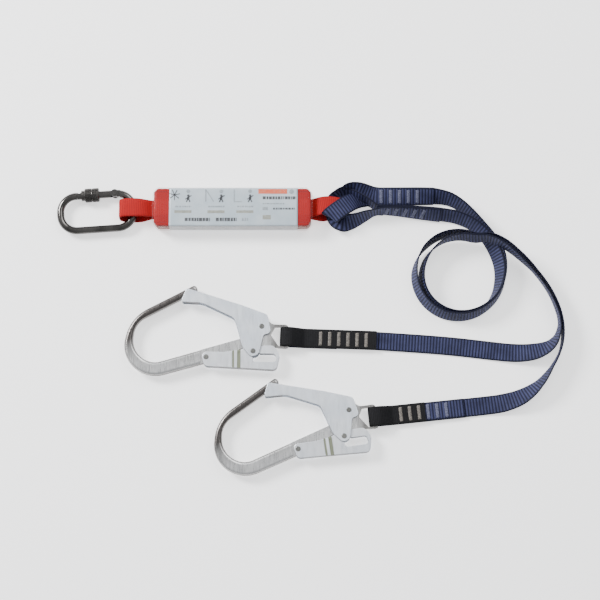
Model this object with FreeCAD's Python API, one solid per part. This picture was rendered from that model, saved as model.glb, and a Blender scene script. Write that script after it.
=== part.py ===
"""Twin-tail shock absorbing lanyard: an energy absorber pack with a screw-lock carabiner on one end and
two webbing tails on the other, each tail ending in a large scaffold hook.

Frame: origin under the middle of the absorber pack, on the surface that the lanyard lies on. +X runs along
the pack from the carabiner towards the tails, +Y across it, +Z up. Lengths are in millimetres.
"""

import FreeCAD, Part
import math
import os
from FreeCAD import Vector

# ---- webbing ---------------------------------------------------------------------------------------------
WEB_WIDTH = 25.0
WEB_THICK = 2.4
WEAR_THICK = 1.4
LAYER_GAP = 0.1
FLOOR = 0.1
TACK_LENGTH = 19.0
TACK_WIDTH = 3.6
TACK_HEIGHT = 0.4
TACK_PITCH = 12.2
LOWER_TACK_SLANT = -14.0
LOWER_TACK_LENGTH = 15.0

# ---- absorber pack ---------------------------------------------------------------------------------------
PACK_LENGTH = 216.0
PACK_WIDTH = 55.0
PACK_HEIGHT = 28.0
COVER_WALL = 0.8
COVER_CHAMFER = 13.0
COVER_BASE = 0.0
LABEL_LENGTH = 173.5
LABEL_THICK = 0.4
LABEL_OFFSET = 1.5
TEAR_WIDTH = 50.0
TEAR_LAYERS = 8
TEAR_LENGTH = 190.0

# ---- red loops -------------------------------------------------------------------------------------------
HARNESS_BIGHT_X = -153.0
HARNESS_LOOP_TOP = 21.4
TAIL_BIGHT_X = 158.0
TAIL_LOOP_BOTTOM = 5.6
TAIL_LOOP_TOP = 21.2
LOOP_ROOT_Z = 13.0

# ---- carabiner -------------------------------------------------------------------------------------------
CARABINER_CENTRE = Vector(-184.1, -3.1, 9.6)
CARABINER_TURN = 4.0
ROD_RADIUS = 5.0
OVAL_HALF_LENGTH = 49.5
OVAL_HALF_WIDTH = 24.0
OVAL_CORNER = 22.0
NOSE_X = -26.0
HINGE_X = 25.4
TUBE_RADIUS = 5.0
TUBE_BORE = 3.3
SLEEVE_RADIUS = 9.5
COLLAR_RADIUS = 7.2
SLEEVE_BORE = 5.75
SLEEVE_LEFT = -19.9
GRIP_LEFT = -15.4
SLEEVE_RIGHT = 4.0
KNURLS = 26

# ---- scaffold hook, in its own frame: origin at the middle of the eye's bar ------------------------------
HOOK_PLACES = {"hook_a": (Vector(71.9, -175.2, 10.0), 0.0), "hook_b": (Vector(189.3, -282.5, 10.0), 8.5)}
BOW_HALF = 6.5
SHANK_HALF = 5.0
EYE_HALF = 4.0
BAR_RADIUS = 3.0
LEVER_INNER = 5.15
LEVER_OUTER = 6.95
GATE_INNER = 7.2
GATE_OUTER = 9.0
GATE_PIVOT = Vector(-31.7, 13.1, 0)
LOCK_PIN = Vector(-43.2, -20.2, 0)
LEVER_PIVOT = Vector(-105.7, -27.9, 0)
RIVET_RADIUS = 2.6
RIVET_HEAD = 3.5
RUNNING_FIT = 0.06
BOW_ROUNDING = 3.9
LEAF_HALF = 3.5
GROOVES = ((34.2, 1.6), (42.0, 4.6))
GROOVE_DEPTH = 0.6
GATE_OPEN = 25.0
LEVER_RATIO = 0.27

# ---- sewn ends of the tails ------------------------------------------------------------------------------
HOOK_END_LENGTH = 120.0
WEAR_LONG = 122.0
WEAR_SHORT = 69.0
WRAP_SLOPE_X = 8.0
FOLD_CLEARANCE = 0.9
WRAP_FLAT_X = 25.0
HOOK_END_TURN = {"hook_a": -2.0, "hook_b": 6.0}
SEWN_THICK = 2 * WEB_THICK + LAYER_GAP
UPPER_SEWN = (Vector(192.0, 19.5, 0), Vector(270.0, 18.5, 0))
LOWER_SEWN = (Vector(199.0, -1.0, 0), Vector(280.0, -8.0, 0))

# ---- free tails ------------------------------------------------------------------------------------------
COIL_CENTRE = Vector(306.8, -90.4, 0)
COIL_OUTER = 65.5
COIL_INNER = 47.5
COIL_HEIGHT = 27.0
STUB = (Vector(332.0, -34.3, 0), Vector(368.0, -46.5, 0))
STUB_BASE = 19.0

FACE_UP = Vector(0, 0, 1)
ORIGIN = Vector(0, 0, 0)
parts = {}


def export(name, shape):
    """Writes one node and prints its volume."""
    parts[name] = shape
    shape.exportStep("parts/" + name + ".step")
    print(name, "valid" if shape.isValid() else "INVALID", len(shape.Solids), round(shape.Volume, 1))


def fuse(shapes):
    """Joins solids that touch or overlap into one."""
    first, rest = shapes[0], shapes[1:]
    return first.multiFuse(rest).removeSplitter() if rest else first


def largest(shape):
    """The biggest solid of a shape, once cuts have left crumbs."""
    return max(shape.Solids, key=lambda solid: solid.Volume)


def trimmed(shape, *cutters):
    """A solid cut back to where its neighbours start."""
    for cutter in cutters:
        shape = shape.cut(cutter)
    return largest(shape)


def box(low, high):
    """A box between two corners."""
    size = high - low
    return Part.makeBox(size.x, size.y, size.z, low)


def cylinder(centre, radius, z_low, z_high):
    """A cylinder along Z."""
    return Part.makeCylinder(radius, z_high - z_low, Vector(centre.x, centre.y, z_low), FACE_UP)


def outline(corners):
    """A closed wire through (x, y, radius) corners, each rounded by a tangent arc of its radius."""
    edges = []
    count = len(corners)
    points = [Vector(c[0], c[1], 0) for c in corners]
    ends = []
    for i, (x, y, radius) in enumerate(corners):
        back = (points[i - 1] - points[i]).normalize()
        ahead = (points[(i + 1) % count] - points[i]).normalize()
        if radius == 0:
            ends.append((points[i], points[i]))
            continue
        half = back.getAngle(ahead) / 2
        reach = radius / math.tan(half)
        towards = (back + ahead).normalize()
        middle = points[i] + towards * (radius / math.sin(half) - radius)
        start = points[i] + back * reach
        finish = points[i] + ahead * reach
        edges.append((i, Part.Arc(start, middle, finish).toShape()))
        ends.append((start, finish))
    ordered = []
    for i in range(count):
        ordered += [edge for k, edge in edges if k == i]
        leave, arrive = ends[i][1], ends[(i + 1) % count][0]
        if (arrive - leave).Length > 1e-4:
            ordered.append(Part.LineSegment(leave, arrive).toShape())
    return Part.Wire(ordered)


def prism(corners, z_low, z_high):
    """An outline in the XY plane raised between two heights."""
    face = Part.Face(outline(corners))
    face.translate(Vector(0, 0, z_low))
    return face.extrude(Vector(0, 0, z_high - z_low))


def from_pivot(pivot, corners):
    """Corners given from a pivot, as corners of the hook's plane."""
    return [(pivot.x + x, pivot.y + y, radius) for x, y, radius in corners]


def rim_edges(solid, z):
    """The edges of a plate that lie at one height."""
    return [e for e in solid.Edges if e.BoundBox.ZLength < 0.01 and abs(e.BoundBox.ZMin - z) < 0.01]


# ---- ribbons ---------------------------------------------------------------------------------------------
def ribbon_frame(tangent, roll, across):
    """The width and thickness directions of a ribbon that heads along tangent."""
    if across is None:
        side = tangent.cross(FACE_UP).normalize()
        lift = side.cross(tangent).normalize()
        angle = math.radians(roll)
        wide = side * math.cos(angle) + lift * math.sin(angle)
    else:
        wide = Vector(across)
    return wide, tangent.cross(wide).normalize()


def ribbon_wire(centre, wide, thin, width, thick):
    """The rectangular section of a ribbon."""
    w = wide * (width / 2)
    t = thin * (thick / 2)
    corners = [centre + w + t, centre - w + t, centre - w - t, centre + w - t]
    return Part.makePolygon(corners + [corners[0]])


def ribbon(name, points, width, thick, rolls=None, across=None, radii=None):
    """A strap along straight runs joined by tangent arcs, turned about its own line by rolls degrees."""
    count = len(points)
    rolls = rolls or [0.0] * count
    arcs = {}
    for i in range(1, count - 1):
        back = points[i - 1] - points[i]
        ahead = points[i + 1] - points[i]
        turn = math.pi - back.getAngle(ahead)
        shorter = min(back.Length, ahead.Length)
        radius = 0.45 * shorter / math.tan(turn / 2)
        if radii and radii.get(i):
            radius = radii[i]
        reach = radius * math.tan(turn / 2)
        u_in = (points[i] - points[i - 1]).normalize()
        u_out = (points[i + 1] - points[i]).normalize()
        axis = u_in.cross(u_out).normalize()
        start = points[i] - u_in * reach
        centre = start + axis.cross(u_in) * radius
        arcs[i] = (start, points[i] + u_out * reach, centre, axis, math.degrees(turn), radius)
    solids = []
    here = points[0]
    heading = (points[1] - points[0]).normalize()
    wide, thin = ribbon_frame(heading, rolls[0], across)
    length = 0.0
    for i in range(1, count):
        heading = (points[i] - points[i - 1]).normalize()
        end = arcs[i][0] if i in arcs else points[i]
        next_wide, next_thin = ribbon_frame(heading, rolls[i], across)
        if wide.dot(next_wide) < 0:
            next_wide, next_thin = next_wide * -1, next_thin * -1
        run = (end - here).Length
        if run > 0.01:
            sections = [ribbon_wire(here, wide, thin, width, thick)]
            sections.append(ribbon_wire(end, next_wide, next_thin, width, thick))
            solids.append(Part.makeLoft(sections, True, True))
            length += run
        if i in arcs:
            start, finish, centre, axis, degrees, radius = arcs[i]
            face = Part.Face(ribbon_wire(start, next_wide, next_thin, width, thick))
            solids.append(face.revolve(centre, axis, degrees))
            spin = FreeCAD.Rotation(axis, degrees)
            wide, thin = spin.multVec(next_wide), spin.multVec(next_thin)
            length += math.radians(degrees) * radius
            here = finish
    result = fuse(solids)
    bends = [round(arcs[i][5], 1) for i in sorted(arcs)]
    ratio = result.Volume / (length * width * thick)
    print(name, "length", round(length, 1), "volume ratio", round(ratio, 4), "radii", bends)
    return result


def tacks(centres, turn, top, length=TACK_LENGTH):
    """A row of bar tacks, each a low raised block of thread across the strap."""
    blocks = []
    for centre in centres:
        block = Part.makeBox(TACK_WIDTH, length, TACK_HEIGHT, Vector(-TACK_WIDTH / 2, -length / 2, 0))
        block.rotate(ORIGIN, FACE_UP, turn)
        block.translate(Vector(centre.x, centre.y, top))
        blocks.append(block)
    return Part.makeCompound(blocks)


def helix_spring(radius, wire, pitch, height, base, axis):
    """A wound spring along an axis."""
    helix = Part.makeHelix(pitch, height, radius)
    section = Part.Wire(Part.makeCircle(wire / 2, Vector(radius, 0, 0), Vector(0, 1, 0)))
    spring = Part.Wire(helix).makePipeShell([section], True, True)
    spring.Placement = FreeCAD.Placement(base, FreeCAD.Rotation(FACE_UP, axis))
    return spring


def formed_spring(centre, radius, wire, sweep, leg):
    """A flat wire spring: an open ring round a rivet with a straight leg at each end."""
    half = math.radians(sweep / 2)
    top = Vector(0, radius, 0)
    start = Vector(radius * math.sin(half), radius * math.cos(half), 0)
    finish = Vector(-start.x, start.y, 0)
    out_start = Vector(-math.cos(half), math.sin(half), 0)
    out_finish = Vector(math.cos(half), math.sin(half), 0)
    runs = [
        Part.LineSegment(start - out_start * leg, start),
        Part.Arc(start, top, finish),
        Part.LineSegment(finish, finish - out_finish * leg),
    ]
    path = Part.Wire([run.toShape() for run in runs])
    section = Part.Wire(Part.makeCircle(wire / 2, start - out_start * leg, out_start))
    spring = path.makePipeShell([section], True, False)
    spring.translate(centre)
    return spring


# ---- absorber pack ---------------------------------------------------------------------------------------
def pack_block(length, width, base, height, chamfer):
    """The pack's block, with its four corners cut off in plan."""
    x, y = length / 2, width / 2
    cut_x, cut_y = chamfer * 0.55, chamfer * 0.62
    quarter = [(x, y - cut_y), (x - cut_x, y)]
    corners = quarter + [(-cx, cy) for cx, cy in reversed(quarter)]
    corners += [(-cx, -cy) for cx, cy in quarter] + [(cx, -cy) for cx, cy in reversed(quarter)]
    return prism([(cx, cy, 2.5) for cx, cy in corners], base, base + height)


def make_clear_cover():
    """A thin clear sleeve, open at both ends in a slot that the loops leave by."""
    outer = pack_block(PACK_LENGTH, PACK_WIDTH, COVER_BASE, PACK_HEIGHT, COVER_CHAMFER)
    outer = outer.makeFillet(2.0, [e for e in outer.Edges if e.BoundBox.ZLength < 0.01])
    wall = COVER_WALL
    inner = pack_block(
        PACK_LENGTH - 2 * wall, PACK_WIDTH - 2 * wall, wall, PACK_HEIGHT - 2 * wall, COVER_CHAMFER
    )
    inner = inner.makeFillet(1.3, [e for e in inner.Edges if e.BoundBox.ZLength < 0.01])
    slot_half = WEB_WIDTH / 2 + 1.0
    slot = box(
        Vector(-PACK_LENGTH, -slot_half, LOOP_ROOT_Z - WEB_THICK - 1.0),
        Vector(PACK_LENGTH, slot_half, LOOP_ROOT_Z + WEB_THICK + 1.0),
    )
    return outer.cut(inner).cut(slot)


def make_tear_webbing():
    """Tear webbing laid to and fro in a stack: one strip with a fold at each end of each layer."""
    room = PACK_HEIGHT - 2 * COVER_WALL - 2 * LABEL_THICK - 0.8
    pitch = room / TEAR_LAYERS
    thick = pitch - 0.25
    bottom = COVER_WALL + LABEL_THICK + 0.3
    solids = []
    for layer in range(TEAR_LAYERS):
        low = bottom + layer * pitch
        solids.append(
            box(
                Vector(-TEAR_LENGTH / 2, -TEAR_WIDTH / 2, low),
                Vector(TEAR_LENGTH / 2, TEAR_WIDTH / 2, low + thick),
            )
        )
        if layer < TEAR_LAYERS - 1:
            side = 1 if layer % 2 == 0 else -1
            middle = low + (pitch + thick) / 2
            fold = Part.makeCylinder(
                (pitch + thick) / 2,
                TEAR_WIDTH,
                Vector(side * TEAR_LENGTH / 2, -TEAR_WIDTH / 2, middle),
                Vector(0, 1, 0),
            )
            inside = Part.makeCylinder(
                (pitch - thick) / 2,
                TEAR_WIDTH,
                Vector(side * TEAR_LENGTH / 2, -TEAR_WIDTH / 2, middle),
                Vector(0, 1, 0),
            )
            half = box(
                Vector(side * TEAR_LENGTH / 2 - (0 if side > 0 else 20), -TEAR_WIDTH, low - 1),
                Vector(side * TEAR_LENGTH / 2 + (20 if side > 0 else 0), TEAR_WIDTH, low + 2 * pitch + 1),
            )
            solids.append(fold.cut(inside).common(half))
    return fuse(solids)


def make_label():
    """A printed sleeve round the webbing stack."""
    x_low = -LABEL_LENGTH / 2 + LABEL_OFFSET
    x_high = LABEL_LENGTH / 2 + LABEL_OFFSET
    y = PACK_WIDTH / 2 - COVER_WALL - 0.1
    z_low = COVER_WALL + 0.1
    z_high = PACK_HEIGHT - COVER_WALL - 0.1
    t = LABEL_THICK
    outer = box(Vector(x_low, -y, z_low), Vector(x_high, y, z_high))
    edges = [e for e in outer.Edges if e.BoundBox.XLength > 1]
    outer = outer.makeFillet(1.3, edges)
    inner = box(Vector(x_low - 1, -y + t, z_low + t), Vector(x_high + 1, y - t, z_high - t))
    inner_edges = [e for e in inner.Edges if e.BoundBox.XLength > 1]
    return outer.cut(inner.makeFillet(0.9, inner_edges))


def make_harness_loop():
    """The loop that the carabiner hangs in: two layers round a wide bight."""
    half = WEB_THICK / 2
    top = HARNESS_LOOP_TOP - half
    bottom = FLOOR + half
    left = HARNESS_BIGHT_X + half
    radius = (top - bottom) / 2
    root = -PACK_LENGTH / 2 - 0.1
    upper = LOOP_ROOT_Z + half
    lower = LOOP_ROOT_Z - half
    points = [
        Vector(root, 0, upper),
        Vector(root - 6, 0, upper),
        Vector(-127, 0, top),
        Vector(left, 0, top),
        Vector(left, 0, bottom),
        Vector(-124, 0, bottom),
        Vector(root - 6, 0, lower),
        Vector(root, 0, lower),
    ]
    return ribbon(
        "harness_loop", points, WEB_WIDTH, WEB_THICK, across=Vector(0, 1, 0), radii={3: radius, 4: radius}
    )


def make_tail_loop():
    """The loop at the other end, which the two tails are hitched to."""
    half = WEB_THICK / 2
    top = TAIL_LOOP_TOP - half
    bottom = TAIL_LOOP_BOTTOM + half
    right = TAIL_BIGHT_X - half
    radius = (top - bottom) / 2
    root = PACK_LENGTH / 2 + 0.1
    upper = LOOP_ROOT_Z + half
    lower = LOOP_ROOT_Z - half
    points = [
        Vector(root, 0, upper),
        Vector(root + 7, 0, upper),
        Vector(root + 18, 0, top),
        Vector(right, 0, top),
        Vector(right, 0, bottom),
        Vector(root + 18, 0, bottom),
        Vector(root + 7, 0, lower),
        Vector(root, 0, lower),
    ]
    return ribbon(
        "tail_loop", points, WEB_WIDTH, WEB_THICK, across=Vector(0, 1, 0), radii={3: radius, 4: radius}
    )


def make_pack_stitching():
    """Rows of thread at both ends of the stack, where the loops are sewn to the tear webbing."""
    top = PACK_HEIGHT - COVER_WALL - LABEL_THICK - 0.75
    rows = []
    for side in (-1, 1):
        for row in range(3):
            x = side * (TEAR_LENGTH / 2 - 3 - row * 3.0)
            rows.append(box(Vector(x - 0.5, -20, top), Vector(x + 0.5, 20, top + 0.5)))
    return Part.makeCompound(rows)


# ---- carabiner -------------------------------------------------------------------------------------------
def place_carabiner(shape):
    """Moves a shape from the carabiner's own frame to where it lies."""
    shape = shape.copy()
    shape.rotate(ORIGIN, FACE_UP, CARABINER_TURN)
    shape.translate(CARABINER_CENTRE)
    return shape


def make_carabiner_body():
    """The bent rod, from its nose round to the tang that the gate hinges on."""
    a, b, r = OVAL_HALF_LENGTH, OVAL_HALF_WIDTH, OVAL_CORNER
    d = r * (1 - math.sqrt(0.5))
    tang_start = HINGE_X + 6.4
    steps = [
        Part.LineSegment(Vector(NOSE_X, b, 0), Vector(-a + r, b, 0)),
        Part.Arc(Vector(-a + r, b, 0), Vector(-a + d, b - d, 0), Vector(-a, b - r, 0)),
        Part.LineSegment(Vector(-a, b - r, 0), Vector(-a, -b + r, 0)),
        Part.Arc(Vector(-a, -b + r, 0), Vector(-a + d, -b + d, 0), Vector(-a + r, -b, 0)),
        Part.LineSegment(Vector(-a + r, -b, 0), Vector(a - r, -b, 0)),
        Part.Arc(Vector(a - r, -b, 0), Vector(a - d, -b + d, 0), Vector(a, -b + r, 0)),
        Part.LineSegment(Vector(a, -b + r, 0), Vector(a, b - r, 0)),
        Part.Arc(Vector(a, b - r, 0), Vector(a - d, b - d, 0), Vector(a - r, b, 0)),
    ]
    path = Part.Wire([s.toShape() for s in steps])
    section = Part.Wire(Part.makeCircle(ROD_RADIUS, Vector(NOSE_X, b, 0), Vector(1, 0, 0)))
    rod = path.makePipeShell([section], True, False)
    eye_end = box(Vector(HINGE_X - 12, b - 12, -12), Vector(tang_start, b + 12, 12))
    rod = rod.cut(eye_end)
    tang = cylinder(Vector(HINGE_X, b, 0), 4.5, -2.5, 2.5)
    neck = box(Vector(HINGE_X, b - 4.5, -2.5), Vector(tang_start + 1.0, b + 4.5, 2.5))
    nose_step = box(Vector(NOSE_X - 0.1, b - 2.2, -2.2), Vector(NOSE_X + 5.0, b + 2.2, 2.2))
    body = fuse([rod, tang, neck, nose_step])
    body = body.cut(cylinder(Vector(HINGE_X, b, 0), 1.75, -10, 10))
    return body.cut(cylinder(Vector(NOSE_X + 3.2, b, 0), 1.0, -10, 10))


def make_carabiner_gate():
    """The hollow gate: forked at the hinge, slotted at the nose."""
    b = OVAL_HALF_WIDTH
    left = NOSE_X + 0.4
    tube = Part.makeCylinder(TUBE_RADIUS, HINGE_X - left, Vector(left, b, 0), Vector(1, 0, 0))
    knuckle = cylinder(Vector(HINGE_X, b, 0), 5.2, -5.6, 5.6)
    gate = tube.fuse(knuckle).removeSplitter()
    bore = Part.makeCylinder(TUBE_BORE, HINGE_X - 12 - left, Vector(left, b, 0), Vector(1, 0, 0))
    fork = box(Vector(HINGE_X - 6.0, b - 12, -2.65), Vector(HINGE_X + 12, b + 12, 2.65))
    nose_slot = box(Vector(left - 1, b - 2.4, -2.5), Vector(NOSE_X + 6.0, b + 12, 2.5))
    pin_slot = box(Vector(NOSE_X + 1.9, b - 1.2, -4.2), Vector(NOSE_X + 4.5, b + 12, 4.2))
    gate = gate.cut(bore).cut(fork).cut(nose_slot).cut(pin_slot)
    return gate.cut(cylinder(Vector(HINGE_X, b, 0), 1.65, -10, 10))


def make_lock_sleeve():
    """The screw sleeve: a smooth collar towards the nose and a knurled grip."""
    b = OVAL_HALF_WIDTH
    along = Vector(1, 0, 0)
    grip_length = SLEEVE_RIGHT - GRIP_LEFT
    collar = Part.makeCylinder(COLLAR_RADIUS, SLEEVE_RIGHT - SLEEVE_LEFT, Vector(SLEEVE_LEFT, b, 0), along)
    grip = Part.makeCylinder(SLEEVE_RADIUS, grip_length, Vector(GRIP_LEFT, b, 0), along)
    grip = grip.makeChamfer(1.0, [e for e in grip.Edges if e.BoundBox.XLength < 0.01])
    for k in range(KNURLS):
        angle = 2 * math.pi * k / KNURLS
        foot = Vector(GRIP_LEFT - 1, b + SLEEVE_RADIUS * math.cos(angle), SLEEVE_RADIUS * math.sin(angle))
        grip = grip.cut(Part.makeCylinder(0.7, grip_length + 2, foot, along))
    waist = (GRIP_LEFT + SLEEVE_RIGHT) / 2
    ring = Part.makeTorus(SLEEVE_RADIUS, 0.8, Vector(waist, b, 0), along)
    bore = Part.makeCylinder(SLEEVE_BORE, 60, Vector(SLEEVE_LEFT - 10, b, 0), along)
    return collar.fuse(grip.cut(ring)).removeSplitter().cut(bore)


def make_carabiner():
    """All of the carabiner's pieces."""
    b = OVAL_HALF_WIDTH
    export("carabiner_body", place_carabiner(make_carabiner_body()))
    export("carabiner_gate", place_carabiner(make_carabiner_gate()))
    export("carabiner_lock_sleeve", place_carabiner(make_lock_sleeve()))
    hinge = Vector(HINGE_X, b, 0)
    heads = [cylinder(hinge, 2.7, 5.65, 6.3), cylinder(hinge, 2.7, -6.3, -5.65)]
    export("carabiner_gate_rivet", place_carabiner(fuse([cylinder(hinge, 1.6, -6.3, 6.3)] + heads)))
    export("carabiner_nose_pin", place_carabiner(cylinder(Vector(NOSE_X + 3.2, b, 0), 0.98, -4.0, 4.0)))
    spring = helix_spring(2.2, 0.7, 1.9, 15.2, Vector(-10.0, b, 0), Vector(1, 0, 0))
    export("carabiner_gate_spring", place_carabiner(spring))
    plunger = Part.makeCylinder(3.1, 3.6, Vector(6.4, b, 0), Vector(1, 0, 0))
    tip = Part.makeCone(2.0, 1.2, 2.8, Vector(10.0, b, 0), Vector(1, 0, 0))
    export("carabiner_gate_plunger", place_carabiner(plunger.fuse(tip)))


# ---- scaffold hook ---------------------------------------------------------------------------------------
def make_hook_body():
    """The forging: nose, bow, shank, gate lug and webbing eye."""
    bow = [
        (-121.2, 70.7, 4.0),
        (-116.8, 62.3, 4.0),
        (-201.0, 18.8, 30.0),
        (-205.5, -16.0, 30.0),
        (-181.0, -37.6, 28.0),
        (-110.0, -17.3, 0),
        (-104.0, -35.1, 0),
        (-180.0, -56.0, 42.0),
        (-221.0, -30.0, 40.0),
        (-207.0, 26.4, 55.0),
    ]
    bow_solid = prism(bow, -BOW_HALF, BOW_HALF)
    rims = rim_edges(bow_solid, BOW_HALF) + rim_edges(bow_solid, -BOW_HALF)
    bow_solid = bow_solid.makeFillet(BOW_ROUNDING, [e for e in rims if e.BoundBox.XMin < -111.0])
    shank = [
        (-113.0, -18.1, 0),
        (-56.0, -1.9, 14.0),
        (-43.0, 12.0, 8.0),
        (-37.0, 23.6, 8.0),
        (-24.0, 21.8, 6.0),
        (-17.0, 16.2, 8.0),
        (4.2, 16.2, 5.0),
        (4.2, -16.6, 5.0),
        (-22.0, -13.4, 10.0),
        (-58.0, -15.5, 20.0),
        (-92.0, -33.6, 10.0),
        (-104.0, -35.0, 0),
        (-118.0, -38.0, 0),
    ]
    shank_solid = prism(shank, -SHANK_HALF, SHANK_HALF)
    pocket = [(-113.5, -8.0, 0), (-113.5, -60.0, 0), (-50.0, -60.0, 0), (-50.0, -8.0, 0)]
    cutters = [prism(pocket, SHANK_HALF, 20), prism(pocket, -20, -SHANK_HALF)]
    cutters += [box(Vector(-13.0, -30, EYE_HALF), Vector(10, 30, 20))]
    cutters += [box(Vector(-13.0, -30, -20), Vector(10, 30, -EYE_HALF))]
    hole = [
        (4.3, 13.0, 0),
        (4.3, -13.0, 0),
        (-9.2, -13.0, 1.5),
        (-20.0, 2.6, 3.0),
        (-14.2, 13.0, 2.0),
    ]
    body = fuse([bow_solid, shank_solid])
    for cutter in cutters + [prism(hole, -20, 20)]:
        body = body.cut(cutter)
    body = fuse([body, Part.makeCylinder(BAR_RADIUS, 31.0, Vector(0, -15.5, 0), Vector(0, 1, 0))])
    for pivot in (GATE_PIVOT, LEVER_PIVOT):
        body = body.cut(cylinder(pivot, RIVET_RADIUS + 0.02, -20, 20))
    return body


def pressed_plates(corners, inner, outer):
    """Two plates with rounded outer rims, one each side of the hook's plane."""
    front = prism(corners, inner, outer)
    back = prism(corners, -outer, -inner)
    return [front.makeFillet(0.7, rim_edges(front, outer)), back.makeFillet(0.7, rim_edges(back, -outer))]


def make_gate():
    """The gate: two pressed plates with a web over the back and a stop under the nose."""
    plate = [
        (-132.6, 65.4, 3.0),
        (-58.1, 41.9, 30.0),
        (-24.0, 29.2, 7.0),
        (-18.8, 3.8, 5.5),
        (-29.0, 1.6, 4.0),
        (-36.0, -26.0, 8.0),
        (-46.5, -28.0, 6.5),
        (-57.4, -14.6, 6.0),
        (-68.6, 24.4, 9.0),
        (-112.0, 45.2, 30.0),
        (-140.6, 46.4, 3.0),
    ]
    gate = pressed_plates(plate, GATE_INNER, GATE_OUTER)
    web_half = GATE_OUTER - 0.3
    back_web = [(-107.0, 57.2, 0), (-60.0, 42.4, 0), (-60.6, 40.4, 0), (-107.6, 55.2, 0)]
    nose_stop = [(-134.0, 49.6, 0), (-116.0, 47.9, 0), (-116.2, 45.9, 0), (-134.2, 47.5, 0)]
    gate += [prism(back_web, -web_half, web_half), prism(nose_stop, -web_half, web_half)]
    gate = fuse(gate)
    gate = gate.cut(cylinder(GATE_PIVOT, RIVET_RADIUS + RUNNING_FIT, -20, 20))
    return gate.cut(cylinder(LOCK_PIN, RIVET_RADIUS + 0.02, -20, 20))


def slot_path():
    """Where the lock pin goes in the lever's frame as the gate opens and the lever lifts with it."""
    places = []
    for step in range(3):
        gate_turn = FreeCAD.Rotation(FACE_UP, GATE_OPEN * step / 2)
        lever_turn = FreeCAD.Rotation(FACE_UP, -GATE_OPEN * LEVER_RATIO * step / 2)
        pin = GATE_PIVOT + gate_turn.multVec(LOCK_PIN - GATE_PIVOT)
        places.append(LEVER_PIVOT + lever_turn.multVec(pin - LEVER_PIVOT))
    return places


def make_lever():
    """The squeeze lever: a pressed channel with the slot that holds the gate's lock pin."""
    plate = [
        (-7.6, 7.6, 7.0),
        (24.0, 7.0, 30.0),
        (46.3, 10.2, 10.0),
        (58.0, 15.2, 10.0),
        (90.0, 15.6, 9.0),
        (97.9, 4.0, 12.0),
        (94.0, -17.9, 7.0),
        (32.0, -14.2, 20.0),
        (-2.5, -12.4, 7.0),
    ]
    lever = pressed_plates(from_pivot(LEVER_PIVOT, plate), LEVER_INNER, LEVER_OUTER)
    web = [
        (6.0, -12.75, 0),
        (32.0, -14.0, 0),
        (93.8, -17.7, 6.5),
        (97.8, 0.2, 0),
        (95.9, 0.4, 0),
        (92.2, -15.8, 5.0),
        (32.0, -12.1, 0),
        (6.0, -10.9, 0),
    ]
    web_half = LEVER_OUTER - 0.3
    lever = fuse(lever + [prism(from_pivot(LEVER_PIVOT, web), -web_half, web_half)])
    window = [(62.0, -6.6, 4.0), (93.5, -7.0, 4.5), (92.5, 4.4, 4.5), (62.0, 4.6, 0)]
    cutters = [prism(from_pivot(LEVER_PIVOT, window), -20, 20)]
    clearance = RIVET_RADIUS + 0.65
    places = slot_path()
    cutters += [cylinder(place, clearance, -20, 20) for place in places]
    for first, second in zip(places, places[1:]):
        side = (second - first).normalize().cross(FACE_UP) * clearance
        swept = [first + side, second + side, second - side, first - side]
        cutters.append(prism([(p.x, p.y, 0) for p in swept], -20, 20))
    for x, width in GROOVES:
        groove = [(x, 6.4, 0), (x, -12.4, 0), (x + width, -12.8, 0), (x + width, 7.0, 0)]
        for low in (LEVER_OUTER - GROOVE_DEPTH, -LEVER_OUTER - 1.0):
            cutters.append(prism(from_pivot(LEVER_PIVOT, groove), low, low + 1.0 + GROOVE_DEPTH))
    for cutter in cutters:
        lever = lever.cut(cutter)
    return lever.cut(cylinder(LEVER_PIVOT, RIVET_RADIUS + RUNNING_FIT, -20, 20))


def rivet(centre, seat):
    """A rivet with a low head outside each plate, whose outer faces are at seat."""
    shaft = cylinder(centre, RIVET_RADIUS, -seat - 0.9, seat + 0.9)
    heads = []
    for sign in (1, -1):
        foot = centre + Vector(0, 0, sign * (seat + 0.1))
        heads.append(Part.makeCone(RIVET_HEAD, RIVET_HEAD - 0.7, 0.85, foot, Vector(0, 0, sign)))
    return fuse([shaft] + heads)


def make_lever_spring():
    """A bent leaf between the lever's web and the shank's underside."""
    leaf = [
        (26.0, -11.6, 0),
        (50.5, -12.9, 2.6),
        (36.0, 1.4, 2.6),
        (44.6, 8.6, 0),
        (44.0, 9.3, 0),
        (34.3, 1.3, 3.4),
        (48.2, -12.1, 1.8),
        (26.0, -10.9, 0),
    ]
    return prism(from_pivot(LEVER_PIVOT, leaf), -LEAF_HALF, LEAF_HALF)


def place_hook(shape, name):
    """Moves a shape from the hook's own frame to where that hook lies."""
    place, turn = HOOK_PLACES[name]
    shape = shape.copy()
    shape.rotate(ORIGIN, FACE_UP, turn)
    shape.translate(place)
    return shape


def make_hooks():
    """Both hooks, from one set of pieces."""
    pieces = {
        "body": make_hook_body(),
        "gate": make_gate(),
        "lever": make_lever(),
        "gate_rivet": rivet(GATE_PIVOT, GATE_OUTER),
        "lock_pin": rivet(LOCK_PIN, GATE_OUTER),
        "lever_rivet": rivet(LEVER_PIVOT, LEVER_OUTER),
        "gate_spring": formed_spring(GATE_PIVOT + Vector(0, 0, 6.1), 4.6, 1.2, 250.0, 6.0),
        "lever_spring": make_lever_spring(),
    }
    for hook in HOOK_PLACES:
        for piece, shape in pieces.items():
            export(hook + "_" + piece, place_hook(shape, hook))


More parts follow.
